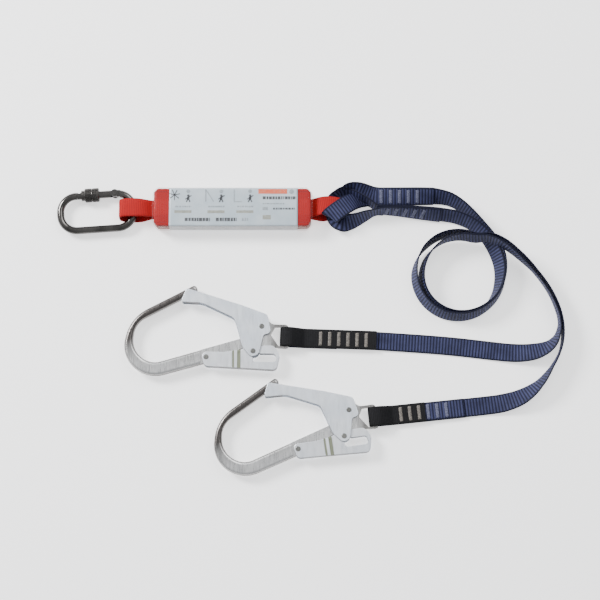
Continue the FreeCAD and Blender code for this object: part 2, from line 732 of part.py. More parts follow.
# ---- sewn ends -------------------------------------------------------------------------------------------
def wrap(name, radius, thick, top_z, bottom_z, top_end, bottom_end):
    """A strap folded round the eye's bar, its two layers coming together on the surface beyond it."""
    middle = HOOK_PLACES["hook_a"][0].z
    points = [
        Vector(top_end, 0, top_z),
        Vector(WRAP_FLAT_X, 0, top_z),
        Vector(WRAP_SLOPE_X, 0, middle + radius),
        Vector(-radius, 0, middle + radius),
        Vector(-radius, 0, middle - radius),
        Vector(WRAP_SLOPE_X, 0, middle - radius),
        Vector(WRAP_FLAT_X, 0, bottom_z),
        Vector(bottom_end, 0, bottom_z),
    ]
    return ribbon(name, points, WEB_WIDTH, thick, across=Vector(0, 1, 0), radii={3: radius, 4: radius})


def make_hook_ends():
    """Each tail's folded end at its hook, the black wear strip over it, and the bar tacks through both."""
    layer = WEB_THICK + LAYER_GAP
    bottom = FLOOR + WEAR_THICK + LAYER_GAP + WEB_THICK / 2
    fold_radius = BAR_RADIUS + FOLD_CLEARANCE + WEB_THICK / 2
    wear_radius = fold_radius + WEB_THICK / 2 + LAYER_GAP + WEAR_THICK / 2
    wear_top = bottom + layer + WEB_THICK / 2 + LAYER_GAP + WEAR_THICK / 2
    wear_bottom = FLOOR + WEAR_THICK / 2
    long_side_up = {"hook_a": True, "hook_b": False}
    for hook, (place, _) in HOOK_PLACES.items():
        over = WEAR_LONG if long_side_up[hook] else WEAR_SHORT
        under = WEAR_SHORT if long_side_up[hook] else WEAR_LONG
        ends = (HOOK_END_LENGTH, HOOK_END_LENGTH)
        fold = wrap(hook + "_end_fold", fold_radius, WEB_THICK, bottom + layer, bottom, *ends)
        wear = wrap(hook + "_wear_strip", wear_radius, WEAR_THICK, wear_top, wear_bottom, over, under)
        wear = trimmed(wear, fold)
        stack_top = wear_top + WEAR_THICK / 2
        navy_top = bottom + layer + WEB_THICK / 2
        first = 47.0 if long_side_up[hook] else 36.0
        threads = []
        for k in range(6):
            x = first + k * TACK_PITCH
            covered = x < over - TACK_WIDTH
            threads.append(tacks([Vector(x, 0, 0)], 0, stack_top if covered else navy_top))
        pieces = {"end_fold": fold, "wear_strip": wear, "end_tacks": Part.makeCompound(threads)}
        for piece, shape in pieces.items():
            shape.rotate(ORIGIN, FACE_UP, HOOK_END_TURN[hook])
            shape.translate(Vector(place.x, place.y, 0))
            export(hook + "_" + piece, shape)


def make_absorber_ends():
    """Each tail's sewn double end, and the folded eye that hitches it to the pack's loop."""
    lower_z = FLOOR + SEWN_THICK / 2
    upper_z = lower_z + SEWN_THICK + 0.2
    folded_width = WEB_WIDTH / 2 - 0.3
    sewn_ends = {}
    for name, (start, end), z, skew in (
        ("tail_b", UPPER_SEWN, upper_z, 0.0),
        ("tail_a", LOWER_SEWN, lower_z, LOWER_TACK_SLANT),
    ):
        along = (end - start).normalize()
        turn = math.degrees(math.atan2(along.y, along.x))
        length = (end - start).Length
        sewn = Part.makeBox(length, WEB_WIDTH, SEWN_THICK, Vector(0, -WEB_WIDTH / 2, z - SEWN_THICK / 2))
        sewn.rotate(ORIGIN, FACE_UP, turn)
        sewn.translate(start)
        sewn_ends[name] = sewn
        export(name + "_sewn_end", sewn)
        centres = [start + along * (10.5 + k * TACK_PITCH) for k in range(5)]
        tack_length = TACK_LENGTH if name == "tail_b" else LOWER_TACK_LENGTH
        threads = tacks(centres, turn + skew, z + SEWN_THICK / 2, tack_length)
        export(name + "_tacks", threads)
    rise = 8.1
    upper_route = [
        Vector(191.8, 26.1, upper_z),
        Vector(176.0, 29.5, upper_z + rise * 0.45),
        Vector(159.0, 27.0, upper_z + rise),
        Vector(143.5, 19.0, upper_z + rise),
        Vector(140.5, 0.0, upper_z + rise),
        Vector(144.0, -19.0, upper_z + rise),
        Vector(159.0, -24.0, upper_z + rise),
        Vector(174.0, -12.0, upper_z + rise * 0.85),
        Vector(180.0, 6.0, upper_z + rise * 0.5),
        Vector(191.8, 13.3, upper_z),
    ]
    lower_route = [
        Vector(198.8, 5.5, lower_z),
        Vector(187.0, 12.0, lower_z),
        Vector(176.0, 20.0, lower_z + rise * 0.4),
        Vector(160.0, 25.0, lower_z + rise),
        Vector(144.5, 19.0, lower_z + rise),
        Vector(141.5, 0.0, lower_z + rise),
        Vector(144.5, -20.0, lower_z + rise),
        Vector(159.0, -27.0, lower_z + rise),
        Vector(178.0, -21.0, lower_z + rise * 0.45),
        Vector(198.8, -7.4, lower_z),
    ]
    upper, lower = sewn_ends["tail_b"], sewn_ends["tail_a"]
    upper_eye = trimmed(ribbon("tail_b_eye", upper_route, folded_width, SEWN_THICK), upper)
    lower_eye = ribbon("tail_a_eye", lower_route, folded_width, SEWN_THICK)
    export("tail_b_eye", upper_eye)
    export("tail_a_eye", trimmed(lower_eye, lower, upper, upper_eye))


# ---- free tails ------------------------------------------------------------------------------------------
HOOK_B_LEAD = [
    (270.2, 18.5, 6.4),
    (298.0, 12.0, 4.0),
    (320.0, -3.0, 4.0),
    (337.0, -19.0, 4.0),
    (350.0, -34.5, 4.0),
    (357.0, -46.0, 4.0),
]
HOOK_A_LEAD = [
    (280.2, -8.0, 1.35),
    (303.0, -10.5, 1.35),
    (321.0, -19.5, 1.35),
    (337.0, -33.0, 1.35),
    (348.0, -46.0, 1.35),
]
HOOK_A_RUN = [
    (367.1, -47.5, 31.5, -90),
    (389.1, -63.6, 24.5, -90),
    (410.0, -82.4, 17.0, -90),
    (429.8, -109.1, 13.0, -90),
    (440.7, -136.3, 12.8, -90),
    (444.2, -156.0, 12.8, -90),
    (439.0, -172.5, 13.1, -78),
    (426.0, -186.5, 12.6, -52),
    (406.0, -194.5, 8.6, -22),
    (380.0, -196.5, 4.2, -4),
    (345.0, -192.5, 1.5, 0),
    (300.0, -187.0, 1.5, 0),
    (245.0, -182.5, 1.5, 0),
    (192.0, -179.4, 2.8, 0),
]
HOOK_B_RUN = [
    (368.9, -45.5, 31.5, -90),
    (390.9, -61.4, 24.5, -90),
    (412.0, -80.6, 17.0, -90),
    (432.2, -107.7, 13.0, -90),
    (443.3, -135.7, 12.8, -90),
    (447.2, -157.0, 12.8, -90),
    (446.5, -176.0, 12.8, -90),
    (440.5, -195.0, 13.1, -86),
    (428.5, -217.0, 13.2, -70),
    (411.0, -240.0, 12.0, -45),
    (388.0, -256.0, 7.8, -20),
    (362.0, -264.0, 4.0, -3),
    (336.0, -267.0, 1.5, 0),
    (308.8, -270.0, 2.8, 0),
]


def make_coil():
    """The outer shape of both tails' turn, with the stub where they leave it over the leads."""
    ring = cylinder(COIL_CENTRE, COIL_OUTER, FLOOR, COIL_HEIGHT)
    ring = ring.cut(cylinder(COIL_CENTRE, COIL_INNER, -1, COIL_HEIGHT + 1))
    start, end = STUB
    along = (end - start).normalize()
    foot = Vector(0, -WEB_THICK - 0.2, 0)
    stub = Part.makeBox((end - start).Length, 2 * WEB_THICK + 0.4, WEB_WIDTH, foot)
    stub.rotate(ORIGIN, FACE_UP, math.degrees(math.atan2(along.y, along.x)))
    stub.translate(Vector(start.x, start.y, STUB_BASE))
    return ring.fuse(stub).removeSplitter()


def make_tails():
    """The tails' free webbing: two leads into the coil, the coil, and two runs out of it to the hooks."""
    coil = make_coil()
    export("tail_coil", coil)
    for name, route in (("tail_b_lead", HOOK_B_LEAD), ("tail_a_lead", HOOK_A_LEAD)):
        strap = ribbon(name, [Vector(*p) for p in route], WEB_WIDTH, WEB_THICK)
        export(name, trimmed(strap, coil, parts["tail_b_sewn_end"], parts["tail_a_sewn_end"]))
    for name, route in (("tail_a_run", HOOK_A_RUN), ("tail_b_run", HOOK_B_RUN)):
        points = [Vector(x, y, z) for x, y, z, _ in route]
        strap = ribbon(name, points, WEB_WIDTH, WEB_THICK, rolls=[p[3] for p in route])
        export(name, trimmed(strap, coil, parts["hook_a_end_fold"], parts["hook_b_end_fold"]))


def main():
    """Builds and writes every piece."""
    os.makedirs("parts", exist_ok=True)
    export("clear_cover", make_clear_cover())
    export("tear_webbing", make_tear_webbing())
    export("label_sleeve", make_label())
    export("pack_stitching", make_pack_stitching())
    export("harness_loop", make_harness_loop())
    export("tail_loop", make_tail_loop())
    make_carabiner()
    make_hooks()
    make_hook_ends()
    make_absorber_ends()
    make_tails()


main()
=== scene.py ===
"""Looks for the twin-tail shock absorbing lanyard. Metres, in the CAD frame: +X along the pack, +Z up."""

import math

import bmesh
import bpy
import numpy as np
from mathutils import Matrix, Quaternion, Vector


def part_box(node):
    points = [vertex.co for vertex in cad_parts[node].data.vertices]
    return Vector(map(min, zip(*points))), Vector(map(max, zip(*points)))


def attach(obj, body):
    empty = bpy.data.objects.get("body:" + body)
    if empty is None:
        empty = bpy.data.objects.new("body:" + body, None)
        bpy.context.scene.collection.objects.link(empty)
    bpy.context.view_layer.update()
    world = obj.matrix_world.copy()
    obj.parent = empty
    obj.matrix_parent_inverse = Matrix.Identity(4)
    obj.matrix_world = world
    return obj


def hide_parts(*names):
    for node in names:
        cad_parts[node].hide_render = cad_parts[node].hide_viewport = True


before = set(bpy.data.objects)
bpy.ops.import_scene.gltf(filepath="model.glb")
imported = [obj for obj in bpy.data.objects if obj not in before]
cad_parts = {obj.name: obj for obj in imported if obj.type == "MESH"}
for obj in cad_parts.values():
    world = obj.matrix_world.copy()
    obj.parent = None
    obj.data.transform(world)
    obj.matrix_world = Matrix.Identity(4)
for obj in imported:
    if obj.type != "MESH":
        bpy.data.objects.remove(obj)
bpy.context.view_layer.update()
MM = 0.001
UP = Vector((0.0, 0.0, 1.0))

# ---- webbing sizes -------------------------------------------------------------------------------
WEB_WIDTH = 25.0 * MM
WEB_THICK = 2.4 * MM
WEAR_THICK = 1.4 * MM
LAYER_GAP = 0.1 * MM
FLOOR = 0.1 * MM
RIB_PITCH = 4.1 * MM
RIB_DEPTH = 0.28 * MM
FINE_PITCH = 2.4 * MM
FINE_DEPTH = 0.14 * MM
LINE_STEP = 0.8 * MM
SPLINE_STEPS = 24
SOFTENING_ROUNDS = 10
SELVEDGE_INNER = 2.6 * MM
SELVEDGE_OUTER = 1.2 * MM
RED_RIB_DEPTH = 0.06 * MM
YARN_WIDTH = 0.9 * MM
STRAP_ACROSS = (-1.0, -0.97, -0.9, -0.8, -0.6, -0.4, -0.2, 0.0,
                0.2, 0.4, 0.6, 0.8, 0.9, 0.97, 1.0)

# ---- sewn ends -----------------------------------------------------------------------------------
TACK_LENGTH = 19.0 * MM
TACK_WIDTH = 4.7 * MM
TACK_HEIGHT = 0.75 * MM
TACK_PITCH = 12.2 * MM
THREAD_PITCH = 0.62 * MM
TACK_SLANT = 0.18 * MM
TACK_SINK = 0.15 * MM
TACK_OVERLAP = 0.05 * MM
TACK_PROFILE = (-1.0, -0.86, -0.55, 0.0, 0.55, 0.86, 1.0)
TACKS = 6
SEWN_TACKS = 5
FIRST_SEWN_TACK = 14.0 * MM
EYE_HEIGHT = 10.0 * MM
FOLD_RADIUS = 5.1 * MM
WEAR_RADIUS = 7.1 * MM
WEAR_WIDTH = 25.6 * MM
FOLD_LENGTH = 120.0 * MM
WRAP_SLOPE = 8.0 * MM
WRAP_FLAT = 25.0 * MM
WRAP_LEVEL = 14.0 * MM
WRAP_STEPS = 24
WEAR_CUP = 0.15 * MM
# hook: eye, turn, wear strip's length above and below, first tack, tacks on the wear strip
HOOK_ENDS = {
    "hook_a": (Vector((0.0719, -0.1752, 0)), -2.0, 0.122, 0.069, 0.047, 6),
    "hook_b": (Vector((0.1893, -0.2825, 0)), 6.0, 0.069, 0.122, 0.036, 3),
}
# hook: its turn in degrees and its webbing eye's centre
HOOK_PLACES = {
    "hook_a": (0.0, (0.0719, -0.1752, 0.0)),
    "hook_b": (8.5, (0.1893, -0.2825, 0.0)),
}
# centre and half width along the hook
LEVER_GROOVES = ((-0.0696, 0.0016), (-0.0621, 0.0026))
GROOVE_EDGE = 0.5 * MM
# where the painted dark reflection on the hook's bow and eye begins: x or y from its webbing eye, each from
# none to full
BOW_REFLECTION_RISES = (-0.036, -0.004)
BOW_REFLECTION_BEGINS = (-0.112, -0.128)
EYE_REFLECTION_BEGINS = (-0.026, -0.014)
# x, y, z and roll of the doubled webbing's middle; slant of the tacks in degrees, and their length
SEWN_ENDS = {
    "tail_b": ([
        (0.188, 0.0192, 0.0080, -8), (0.208, 0.0190, 0.0086, -16), (0.232, 0.0188, 0.0094, -24),
        (0.254, 0.0189, 0.0104, -31), (0.2725, 0.0185, 0.0114, -38),
    ], 0.0, 18.0 * MM),
    "tail_a": ([
        (0.195, -0.0012, 0.0133, -82), (0.216, -0.0015, 0.0132, -75), (0.238, -0.0034, 0.0129, -67),
        (0.260, -0.0056, 0.0126, -60), (0.282, -0.0078, 0.0123, -57),
    ], -12.0, 17.0 * MM),
}

# ---- hitched eyes: x, y, z in millimetres and the direction of the strap's width -----------------
UPPER_EYE = [
    (200, 19.0, 8.6, 0, -0.98, -0.2),
    (191, 19.4, 9.4, 0, -0.98, -0.2),
    (180, 22.6, 13.2, 0, -0.92, -0.38),
    (169, 26.0, 16.6, 0, -0.80, -0.60),
    (159, 28.4, 15.8, 0.05, -0.5, -0.86),
    (150, 27.4, 14.8, 0.15, -0.1, -0.98),
    (143.5, 21.5, 14.2, 0.45, -0.1, -0.88),
    (139, 11, 13.8, 0.96, 0, -0.25),
    (136.5, 1, 13.6, 1, 0, 0),
    (133.5, -7, 14.2, 0.96, -0.28, 0),
    (130.5, -13.2, 19.4, 0.87, -0.49, 0),
    (136, -9.4, 25.0, 0.75, -0.66, 0),
    (145, -2.5, 25.2, 0.595, -0.803, 0),
    (155, 4.8, 22.8, 0.595, -0.803, 0),
    (163, 10.6, 16.0, 0.53, -0.84, 0),
    (170, 14.8, 9.4, 0.4, -0.92, 0),
    (180, 17.8, 7.0, 0.2, -0.98, -0.1),
    (190, 19.2, 6.4, 0, -0.98, -0.15),
    (200, 19.2, 6.8, 0, -0.98, -0.2),
]
LOWER_EYE = [
    (204, -2.6, 13.2, 0, -0.24, -0.97),
    (197, -2.9, 13.2, 0, -0.15, -0.98),
    (189, -5.0, 12.9, 0, -0.2, -0.97),
    (179, -9.0, 12.0, 0, -0.42, -0.9),
    (168, -14.0, 11.0, 0, -0.6, -0.8),
    (157, -17.5, 10.4, 0, -0.8, -0.6),
    (147, -18.5, 10.2, -0.5, -0.8, 0.1),
    (139.5, -12, 10.4, -0.95, -0.3, 0),
    (138.0, 0, 10.6, -1, 0, 0),
    (140.5, 12, 10.4, -0.95, 0.3, 0),
    (149, 18.5, 10.0, -0.5, 0.75, 0.3),
    (162, 19.5, 10.5, 0, 0.6, 0.8),
    (175, 15.5, 12.0, 0, 0.3, 0.95),
    (187, 9.0, 12.9, 0, 0.2, 0.97),
    (196, 1.6, 13.2, 0, 0.15, 0.98),
    (204, 0.0, 13.2, 0, 0.24, 0.97),
]

# ---- red loops: x, y, z in millimetres, share of the full width, tilt in degrees -----------------
HARNESS_LOOP = [
    (-104, 0.4, 14.4, 0.97, 0),
    (-110, 0.5, 14.6, 0.9, 0),
    (-118, 0.8, 18.6, 0.93, 2),
    (-128, 1.2, 20.6, 0.99, 1),
    (-141, 1.4, 20.3, 1.0, 0),
    (-152.5, 0.6, 18.6, 0.99, 0),
    (-153.4, -0.6, 10.5, 0.98, 0),
    (-151.5, -2.0, 2.6, 0.99, 0),
    (-140, -3.2, 1.5, 1.0, 0),
    (-124, -3.6, 2.0, 0.97, 0),
    (-113, -2.4, 8.6, 0.93, -2),
    (-104, -0.8, 11.6, 0.97, 0),
]
TAIL_LOOP = [
    (104, 1.0, 14.4, 0.97, 0),
    (110, 1.5, 14.6, 0.98, 0),
    (118, 3.4, 18.4, 1.0, -3),
    (129, 5.0, 20.0, 0.96, -2),
    (142, 5.0, 19.8, 0.8, 0),
    (156, 3.6, 19.0, 0.68, 0),
    (157.4, 1.8, 13.2, 0.64, 0),
    (155, 0.2, 7.4, 0.68, 0),
    (140, -1.8, 6.6, 0.8, 0),
    (122, -3.6, 7.0, 0.98, 2),
    (112, -2.2, 10.6, 0.98, 0),
    (104, -1.0, 11.6, 0.97, 0),
]

# ---- absorber pack -------------------------------------------------------------------------------
PACK_LOW, PACK_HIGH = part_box("clear_cover")
PACK_HALF_LENGTH = (PACK_HIGH.x - PACK_LOW.x) / 2
PACK_HALF_WIDTH = (PACK_HIGH.y - PACK_LOW.y) / 2
PACK_HEIGHT = PACK_HIGH.z
CUT_X = 7.5 * MM
CUT_Y = 8.0 * MM
TEAR_LAYERS = 8
TEAR_CLEARANCE = 1.7 * MM
TEAR_SIDE_GAP = 1.9 * MM
TEAR_END_GAP = 1.6 * MM
TEAR_LAYER_GAP = 0.15 * MM
STITCH_Y = 21.2 * MM
STITCH_START = 89.5 * MM
STITCH_PITCH = 2.3 * MM
STITCH_SIZE = (1.7 * MM, 0.7 * MM, 0.35 * MM)
STITCHES = 7
LABEL_GAP = 0.1 * MM
LABEL_CORNER = 2.2 * MM
LABEL_THICK = 0.35 * MM
FILM_GAP = 0.1 * MM
FILM_CORNER = 3.0 * MM
FILM_DROP = 1.6 * MM
FILM_PUCKER = 0.22 * MM
PUCKER_FROM = 0.84
RANDOM_SEED = 7
INK_LIFT = 0.09 * MM

# ---- label print, in millimetres from the pack's middle --------------------------------------------
LINE_WIDTH = 1.2
SUN_CENTRE = (-78, 16.5)
SUN_RAYS = 7
SUN_REACH = 7.5
CORNER_LINES = ((-36, 24, -25, 7), (-36, 7, -36, 24), (2.5, 7, 2.5, 24), (2.5, 7, 13, 7))
PICTOGRAMS = (-66.0, -21.5, 17.5)
PERSON_SHIFT = 6.5
PERSON_FOOT = 6.5
PERSON_SIZE = 11.0
# in shares of the figure's height: head's height and radius, then the strokes' ends and width
PERSON_HEAD = (0.82, 0.16)
PERSON_STROKES = (
    (0, 0.66, 0, 0.28, 0.3), (-0.06, 0.34, -0.24, 0, 0.15), (0.06, 0.34, 0.22, 0, 0.15),
    (0, 0.6, 0.4, 0.84, 0.12), (0, 0.58, -0.36, 0.36, 0.12),
)
# the disc's height and radius; then left, right, height of the row's middle and its thickness
PICTOGRAM_DISC = (21.5, 2.6)
PICTOGRAM_MARKS = (-11, 11, 0.4, 2.0)
PICTOGRAM_BAR = (-12, 11, -6.8, 3.8)
# ink, shape and its numbers: left, right, middle, thickness, or a disc's centre and radius
PRINT_ROWS = (
    ("dark", "dashes", (-64, -30, -17.6, 4.6)),
    ("dark", "dashes", (-22, 6, -17.6, 4.8)),
    ("grey", "dashes", (13, 22, -17.6, 4.2)),
    ("red", "bar", (35.0, 74.0, 21.4, 6.6)),
    ("grey", "disc", (80, 21.0, 3.2)),
    ("dark", "dashes", (41, 86, 12.4, 4.0)),
    ("grey", "dashes", (41, 70, 4.4, 1.5)),
    ("grey", "bar", (41, 48, -2.6, 4.4)),
    ("dark", "dashes", (55, 84, -2.6, 2.4)),
    ("olive", "bar", (41, 52, -14.5, 6.0)),
)

# ---- camera --------------------------------------------------------------------------------------
LOOK_AT = Vector((0.0913, -0.1228, 0.0))
CAMERA_ELEVATION = math.radians(79.0)
CAMERA_DISTANCE = 2.25
CAMERA_LENS = 100.0
SENSOR_WIDTH = 36.0
FLOOR_HALF = 6.0
FLOOR_GLOW = 1.1
SURROUND_STRENGTH = 0.5
# name, place, size and power
LIGHTS = (
    ("key", (-1.9, 1.1, 1.8), 0.9, 140.0),
    ("fill", (1.2, 1.4, 2.6), 2.2, 52.0),
)

# ---- the tails' routes: x, y, z in metres and the roll in degrees, 0 flat, -90 on edge -----------
HOOK_B_LEAD = [
    (0.2702, 0.0193, 0.0104, -38),
    (0.286, 0.0176, 0.0119, -50),
    (0.301, 0.0118, 0.0124, -60),
    (0.318, -0.0008, 0.0126, -68),
    (0.3365, -0.0212, 0.0127, -72),
    (0.349, -0.036, 0.0129, -74),
    (0.3575, -0.0475, 0.0129, -77),
]
HOOK_A_LEAD = [
    (0.2802, -0.0067, 0.0116, -57),
    (0.294, -0.0084, 0.0120, -57),
    (0.307, -0.0118, 0.0124, -58),
    (0.324, -0.0194, 0.0125, -60),
    (0.3385, -0.0320, 0.0123, -58),
    (0.349, -0.0457, 0.0120, -56),
]
HOOK_A_RUN = [
    (0.3445, -0.0425, 0.0285, -80),
    (0.3648, -0.0530, 0.030, -84),
    (0.3858, -0.0690, 0.0245, -90),
    (0.4062, -0.0870, 0.0165, -97),
    (0.4248, -0.1115, 0.0128, -95),
    (0.4360, -0.1372, 0.0128, -92),
    (0.4398, -0.156, 0.0128, -90),
    (0.4362, -0.1735, 0.0131, -78),
    (0.4255, -0.188, 0.0120, -52),
    (0.406, -0.1952, 0.0075, -22),
    (0.380, -0.1965, 0.0030, -4),
    (0.345, -0.1925, 0.0015, 0),
    (0.300, -0.187, 0.0015, 0),
    (0.245, -0.1825, 0.0015, 0),
    (0.192, -0.1794, 0.0028, 0),
]
HOOK_B_RUN = [
    (0.3475, -0.0385, 0.0285, -88),
    (0.3672, -0.0487, 0.030, -86),
    (0.3887, -0.0654, 0.0245, -90),
    (0.4095, -0.0843, 0.0165, -97),
    (0.4282, -0.1096, 0.0128, -95),
    (0.4391, -0.1362, 0.0128, -92),
    (0.4430, -0.157, 0.0128, -90),
    (0.4430, -0.1765, 0.0129, -90),
    (0.4385, -0.1965, 0.0131, -91),
    (0.4268, -0.2165, 0.0131, -84),
    (0.4105, -0.239, 0.0123, -64),
    (0.388, -0.2558, 0.0083, -32),
    (0.362, -0.264, 0.0037, -8),
    (0.336, -0.267, 0.0015, 0),
    (0.3088, -0.270, 0.0028, 0),
]

# ---- the coil: stations along the turn, angle travelled clockwise, radii, height and roll --------
COIL_CENTRE = Vector((0.3068, -0.0904, 0.0))
COIL_STARTS_AT = 24.0
COIL_TURN = 318.0
COIL_POINTS = 18
COIL_EASE = 1.013  # the spline cuts its control points' corners by this much
STATION_ANGLES = (0.0, 30.0, 54.0, 70.0, 92.0, 114.0, 160.0, 204.0, 226.0, 250.0, 290.0, 318.0)
INNER_RADII = (56.0, 52.6, 53.1, 52.7, 53.7, 54.9, 54.0, 51.8, 50.6, 49.6, 49.6, 50.2)
OUTER_RADII = (63.8, 60.0, 58.3, 56.8, 57.2, 57.6, 60.2, 61.5, 60.8, 59.0, 56.0, 54.6)
COIL_HEIGHTS = (12.9, 12.9, 12.9, 12.9, 12.9, 12.9, 12.9, 13.2, 14.4, 16.5, 22.0, 26.0)
INNER_ROLLS = (-56, -64, -76, -88, -99, -107, -107, -104, -102, -94, -80, -74)
OUTER_ROLLS = (-80, -95, -98, -101, -105, -108, -108, -106, -94, -78, -80, -88)


# ---- small helpers -------------------------------------------------------------------------------
def new_object(name, mesh, material):
    """An object in the scene, with one material."""
    made = bpy.data.objects.new(name, mesh)
    bpy.context.scene.collection.objects.link(made)
    mesh.materials.append(material)
    for polygon in mesh.polygons:
        polygon.use_smooth = True
    return made


def mesh_of(name, bm):
    """A finished mesh from a bmesh, with its faces turned outwards."""
    bmesh.ops.recalc_face_normals(bm, faces=bm.faces)
    mesh = bpy.data.meshes.new(name)
    bm.to_mesh(mesh)
    bm.free()
    return mesh


def place(piece, body, slot, *nodes):
    """Hangs a piece on its body's empty and hides the CAD nodes that it stands for; the slot is not used."""
    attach(piece, body)
    if nodes:
        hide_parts(*nodes)
    return piece


def spline_line(name, points):
    """The points of the smooth spline with these control points, and the curve's parameter at each."""
    curve = bpy.data.curves.new(name, "CURVE")
    curve.dimensions = "3D"
    curve.resolution_u = SPLINE_STEPS
    spline = curve.splines.new("NURBS")
    spline.points.add(len(points) - 1)
    for spot, point in zip(spline.points, points):
        spot.co = (point[0], point[1], point[2], 1.0)
    spline.order_u = 3
    spline.use_endpoint_u = True
    bare = bpy.data.objects.new(name, curve)
    mesh = bpy.data.meshes.new_from_object(bare)
    line = np.array([v.co for v in mesh.vertices], float)
    bpy.data.meshes.remove(mesh)
    bpy.data.curves.remove(curve)
    return line, np.linspace(0, len(points) - 2, len(line))


def along_control(values, parameter):
    """Values given at the control points, spread along the spline's parameter."""
    count = len(values)
    knots = [0.0] + [i - 0.5 for i in range(1, count - 1)] + [count - 2.0]
    return np.interp(parameter, knots, values)


def resampled(line, *tracks):
    """The line and the values along it, at even steps."""
    lengths = np.linalg.norm(np.diff(line, axis=0), axis=1)
    at = np.concatenate([[0.0], np.cumsum(lengths)])
    steps = np.linspace(0, at[-1], max(3, round(at[-1] / LINE_STEP)))
    even = [np.stack([np.interp(steps, at, line[:, k]) for k in range(3)], axis=1)]
    for track in tracks:
        track = np.asarray(track, float)
        if track.ndim == 1:
            even.append(np.interp(steps, at, track))
        else:
            even.append(np.stack([np.interp(steps, at, track[:, k]) for k in range(track.shape[1])], axis=1))
    return even, steps


def tangents_of(line):
    """Unit directions along a line."""
    ahead = np.gradient(line, axis=0)
    return ahead / np.linalg.norm(ahead, axis=1)[:, None]


def rolled_widths(line, rolls):
    """The width direction at each point of a strap that is rolled about its own line, from lying flat."""
    heading = tangents_of(line)
    side = np.cross(heading, np.array(UP))
    side /= np.linalg.norm(side, axis=1)[:, None]
    lift = np.cross(side, heading)
    angle = np.radians(rolls)[:, None]
    return side * np.cos(angle) + lift * np.sin(angle)


def squared_widths(line, wides):
    """Width directions made square to the line."""
    heading = tangents_of(line)
    wides = np.asarray(wides, float)
    wides = wides - (wides * heading).sum(1)[:, None] * heading
    return wides / np.linalg.norm(wides, axis=1)[:, None]


def strap(
    name, line, wides, along, material, width=WEB_WIDTH, thick=WEB_THICK,
    ribs=(RIB_PITCH, RIB_DEPTH), pinch=None, cup=0.0,
):
    """A webbing strap as a closed mesh: cross ribs on both faces, round selvedges, edges that may curl."""
    heading = tangents_of(line)
    thins = np.cross(heading, wides)
    pitch, depth = ribs
    bm = bmesh.new()
    uv = bm.loops.layers.uv.new("strap")
    rings = []
    for i in range(len(line)):
        rib = depth * (0.5 - 0.5 * math.cos(2 * math.pi * along[i] / pitch)) ** 0.7
        narrow = 1.0 if pinch is None else pinch[i]
        ring = []
        for sign in (1, -1):
            for s in STRAP_ACROSS[::sign]:
                edge = math.sqrt(max(0.0, 1 - abs(s) ** 14))
                flat = 1 - abs(s) ** 10
                half = (thick / 2 - depth) * (0.28 + 0.72 * edge) + rib * flat
                spot = line[i] + wides[i] * (s * width / 2 * narrow)
                spot = spot + thins[i] * (sign * half + cup * abs(s) ** 3)
                ring.append((bm.verts.new(spot), along[i], s * width / 2))
        rings.append(ring)
    size = len(rings[0])
    for first, second in zip(rings, rings[1:]):
        for k in range(size):
            corners = (first[k], first[(k + 1) % size], second[(k + 1) % size], second[k])
            face = bm.faces.new([c[0] for c in corners])
            for loop, corner in zip(face.loops, corners):
                loop[uv].uv = (corner[1], corner[2])
    for ring in (rings[0], rings[-1]):
        face = bm.faces.new([c[0] for c in ring])
        for loop, corner in zip(face.loops, ring):
            loop[uv].uv = (corner[1], corner[2])
    return new_object(name, mesh_of(name, bm), material)


# ---- materials -----------------------------------------------------------------------------------
class Nodes:
    """A short way to write a node material."""

    def __init__(self, name):
        self.material = bpy.data.materials.new(name)
        self.material.use_nodes = True
        self.tree = self.material.node_tree
        self.shader = self.tree.nodes["Principled BSDF"]

    def add(self, kind, **values):
        node = self.tree.nodes.new(kind)
        for key, value in values.items():
            setattr(node, key, value)
        return node

    def link(self, source, target):
        self.tree.links.new(source, target)

    def math(self, operation, first, second=None):
        node = self.add("ShaderNodeMath", operation=operation)
        for socket, value in zip(node.inputs, (first, second)):
            if value is None:
                continue
            if isinstance(value, (int, float)):
                socket.default_value = value
            else:
                self.link(value, socket)
        return node.outputs[0]

    def noise(self, scale, detail=3.0, vector=None, roughness=0.5):
        node = self.add("ShaderNodeTexNoise")
        node.inputs["Scale"].default_value = scale
        node.inputs["Detail"].default_value = detail
        node.inputs["Roughness"].default_value = roughness
        if vector is None:
            vector = self.add("ShaderNodeTexCoord").outputs["Object"]
        self.link(vector, node.inputs["Vector"])
        return node.outputs[0]

    def mix(self, share, first, second):
        node = self.add("ShaderNodeMix", data_type="RGBA")
        self.link(share, node.inputs[0])
        for index, value in ((6, first), (7, second)):
            if isinstance(value, tuple):
                node.inputs[index].default_value = (*value, 1.0)
            else:
                self.link(value, node.inputs[index])
        return node.outputs[2]

    def spread(self, value, low, high, to_low=0.0, to_high=1.0):
        node = self.add("ShaderNodeMapRange")
        self.link(value, node.inputs[0])
        for socket, number in zip(node.inputs[1:5], (low, high, to_low, to_high)):
            socket.default_value = number
        return node.outputs[0]

    def bump(self, height, strength, distance, under=None):
        node = self.add("ShaderNodeBump")
        node.inputs["Strength"].default_value = strength
        node.inputs["Distance"].default_value = distance
        self.link(height, node.inputs["Height"])
        if under is not None:
            self.link(under, node.inputs["Normal"])
        return node.outputs[0]

    def colour(self, value):
        self.link(value, self.shader.inputs["Base Color"])

    def set(self, **values):
        for key, value in values.items():
            self.shader.inputs[key.replace("_", " ")].default_value = value


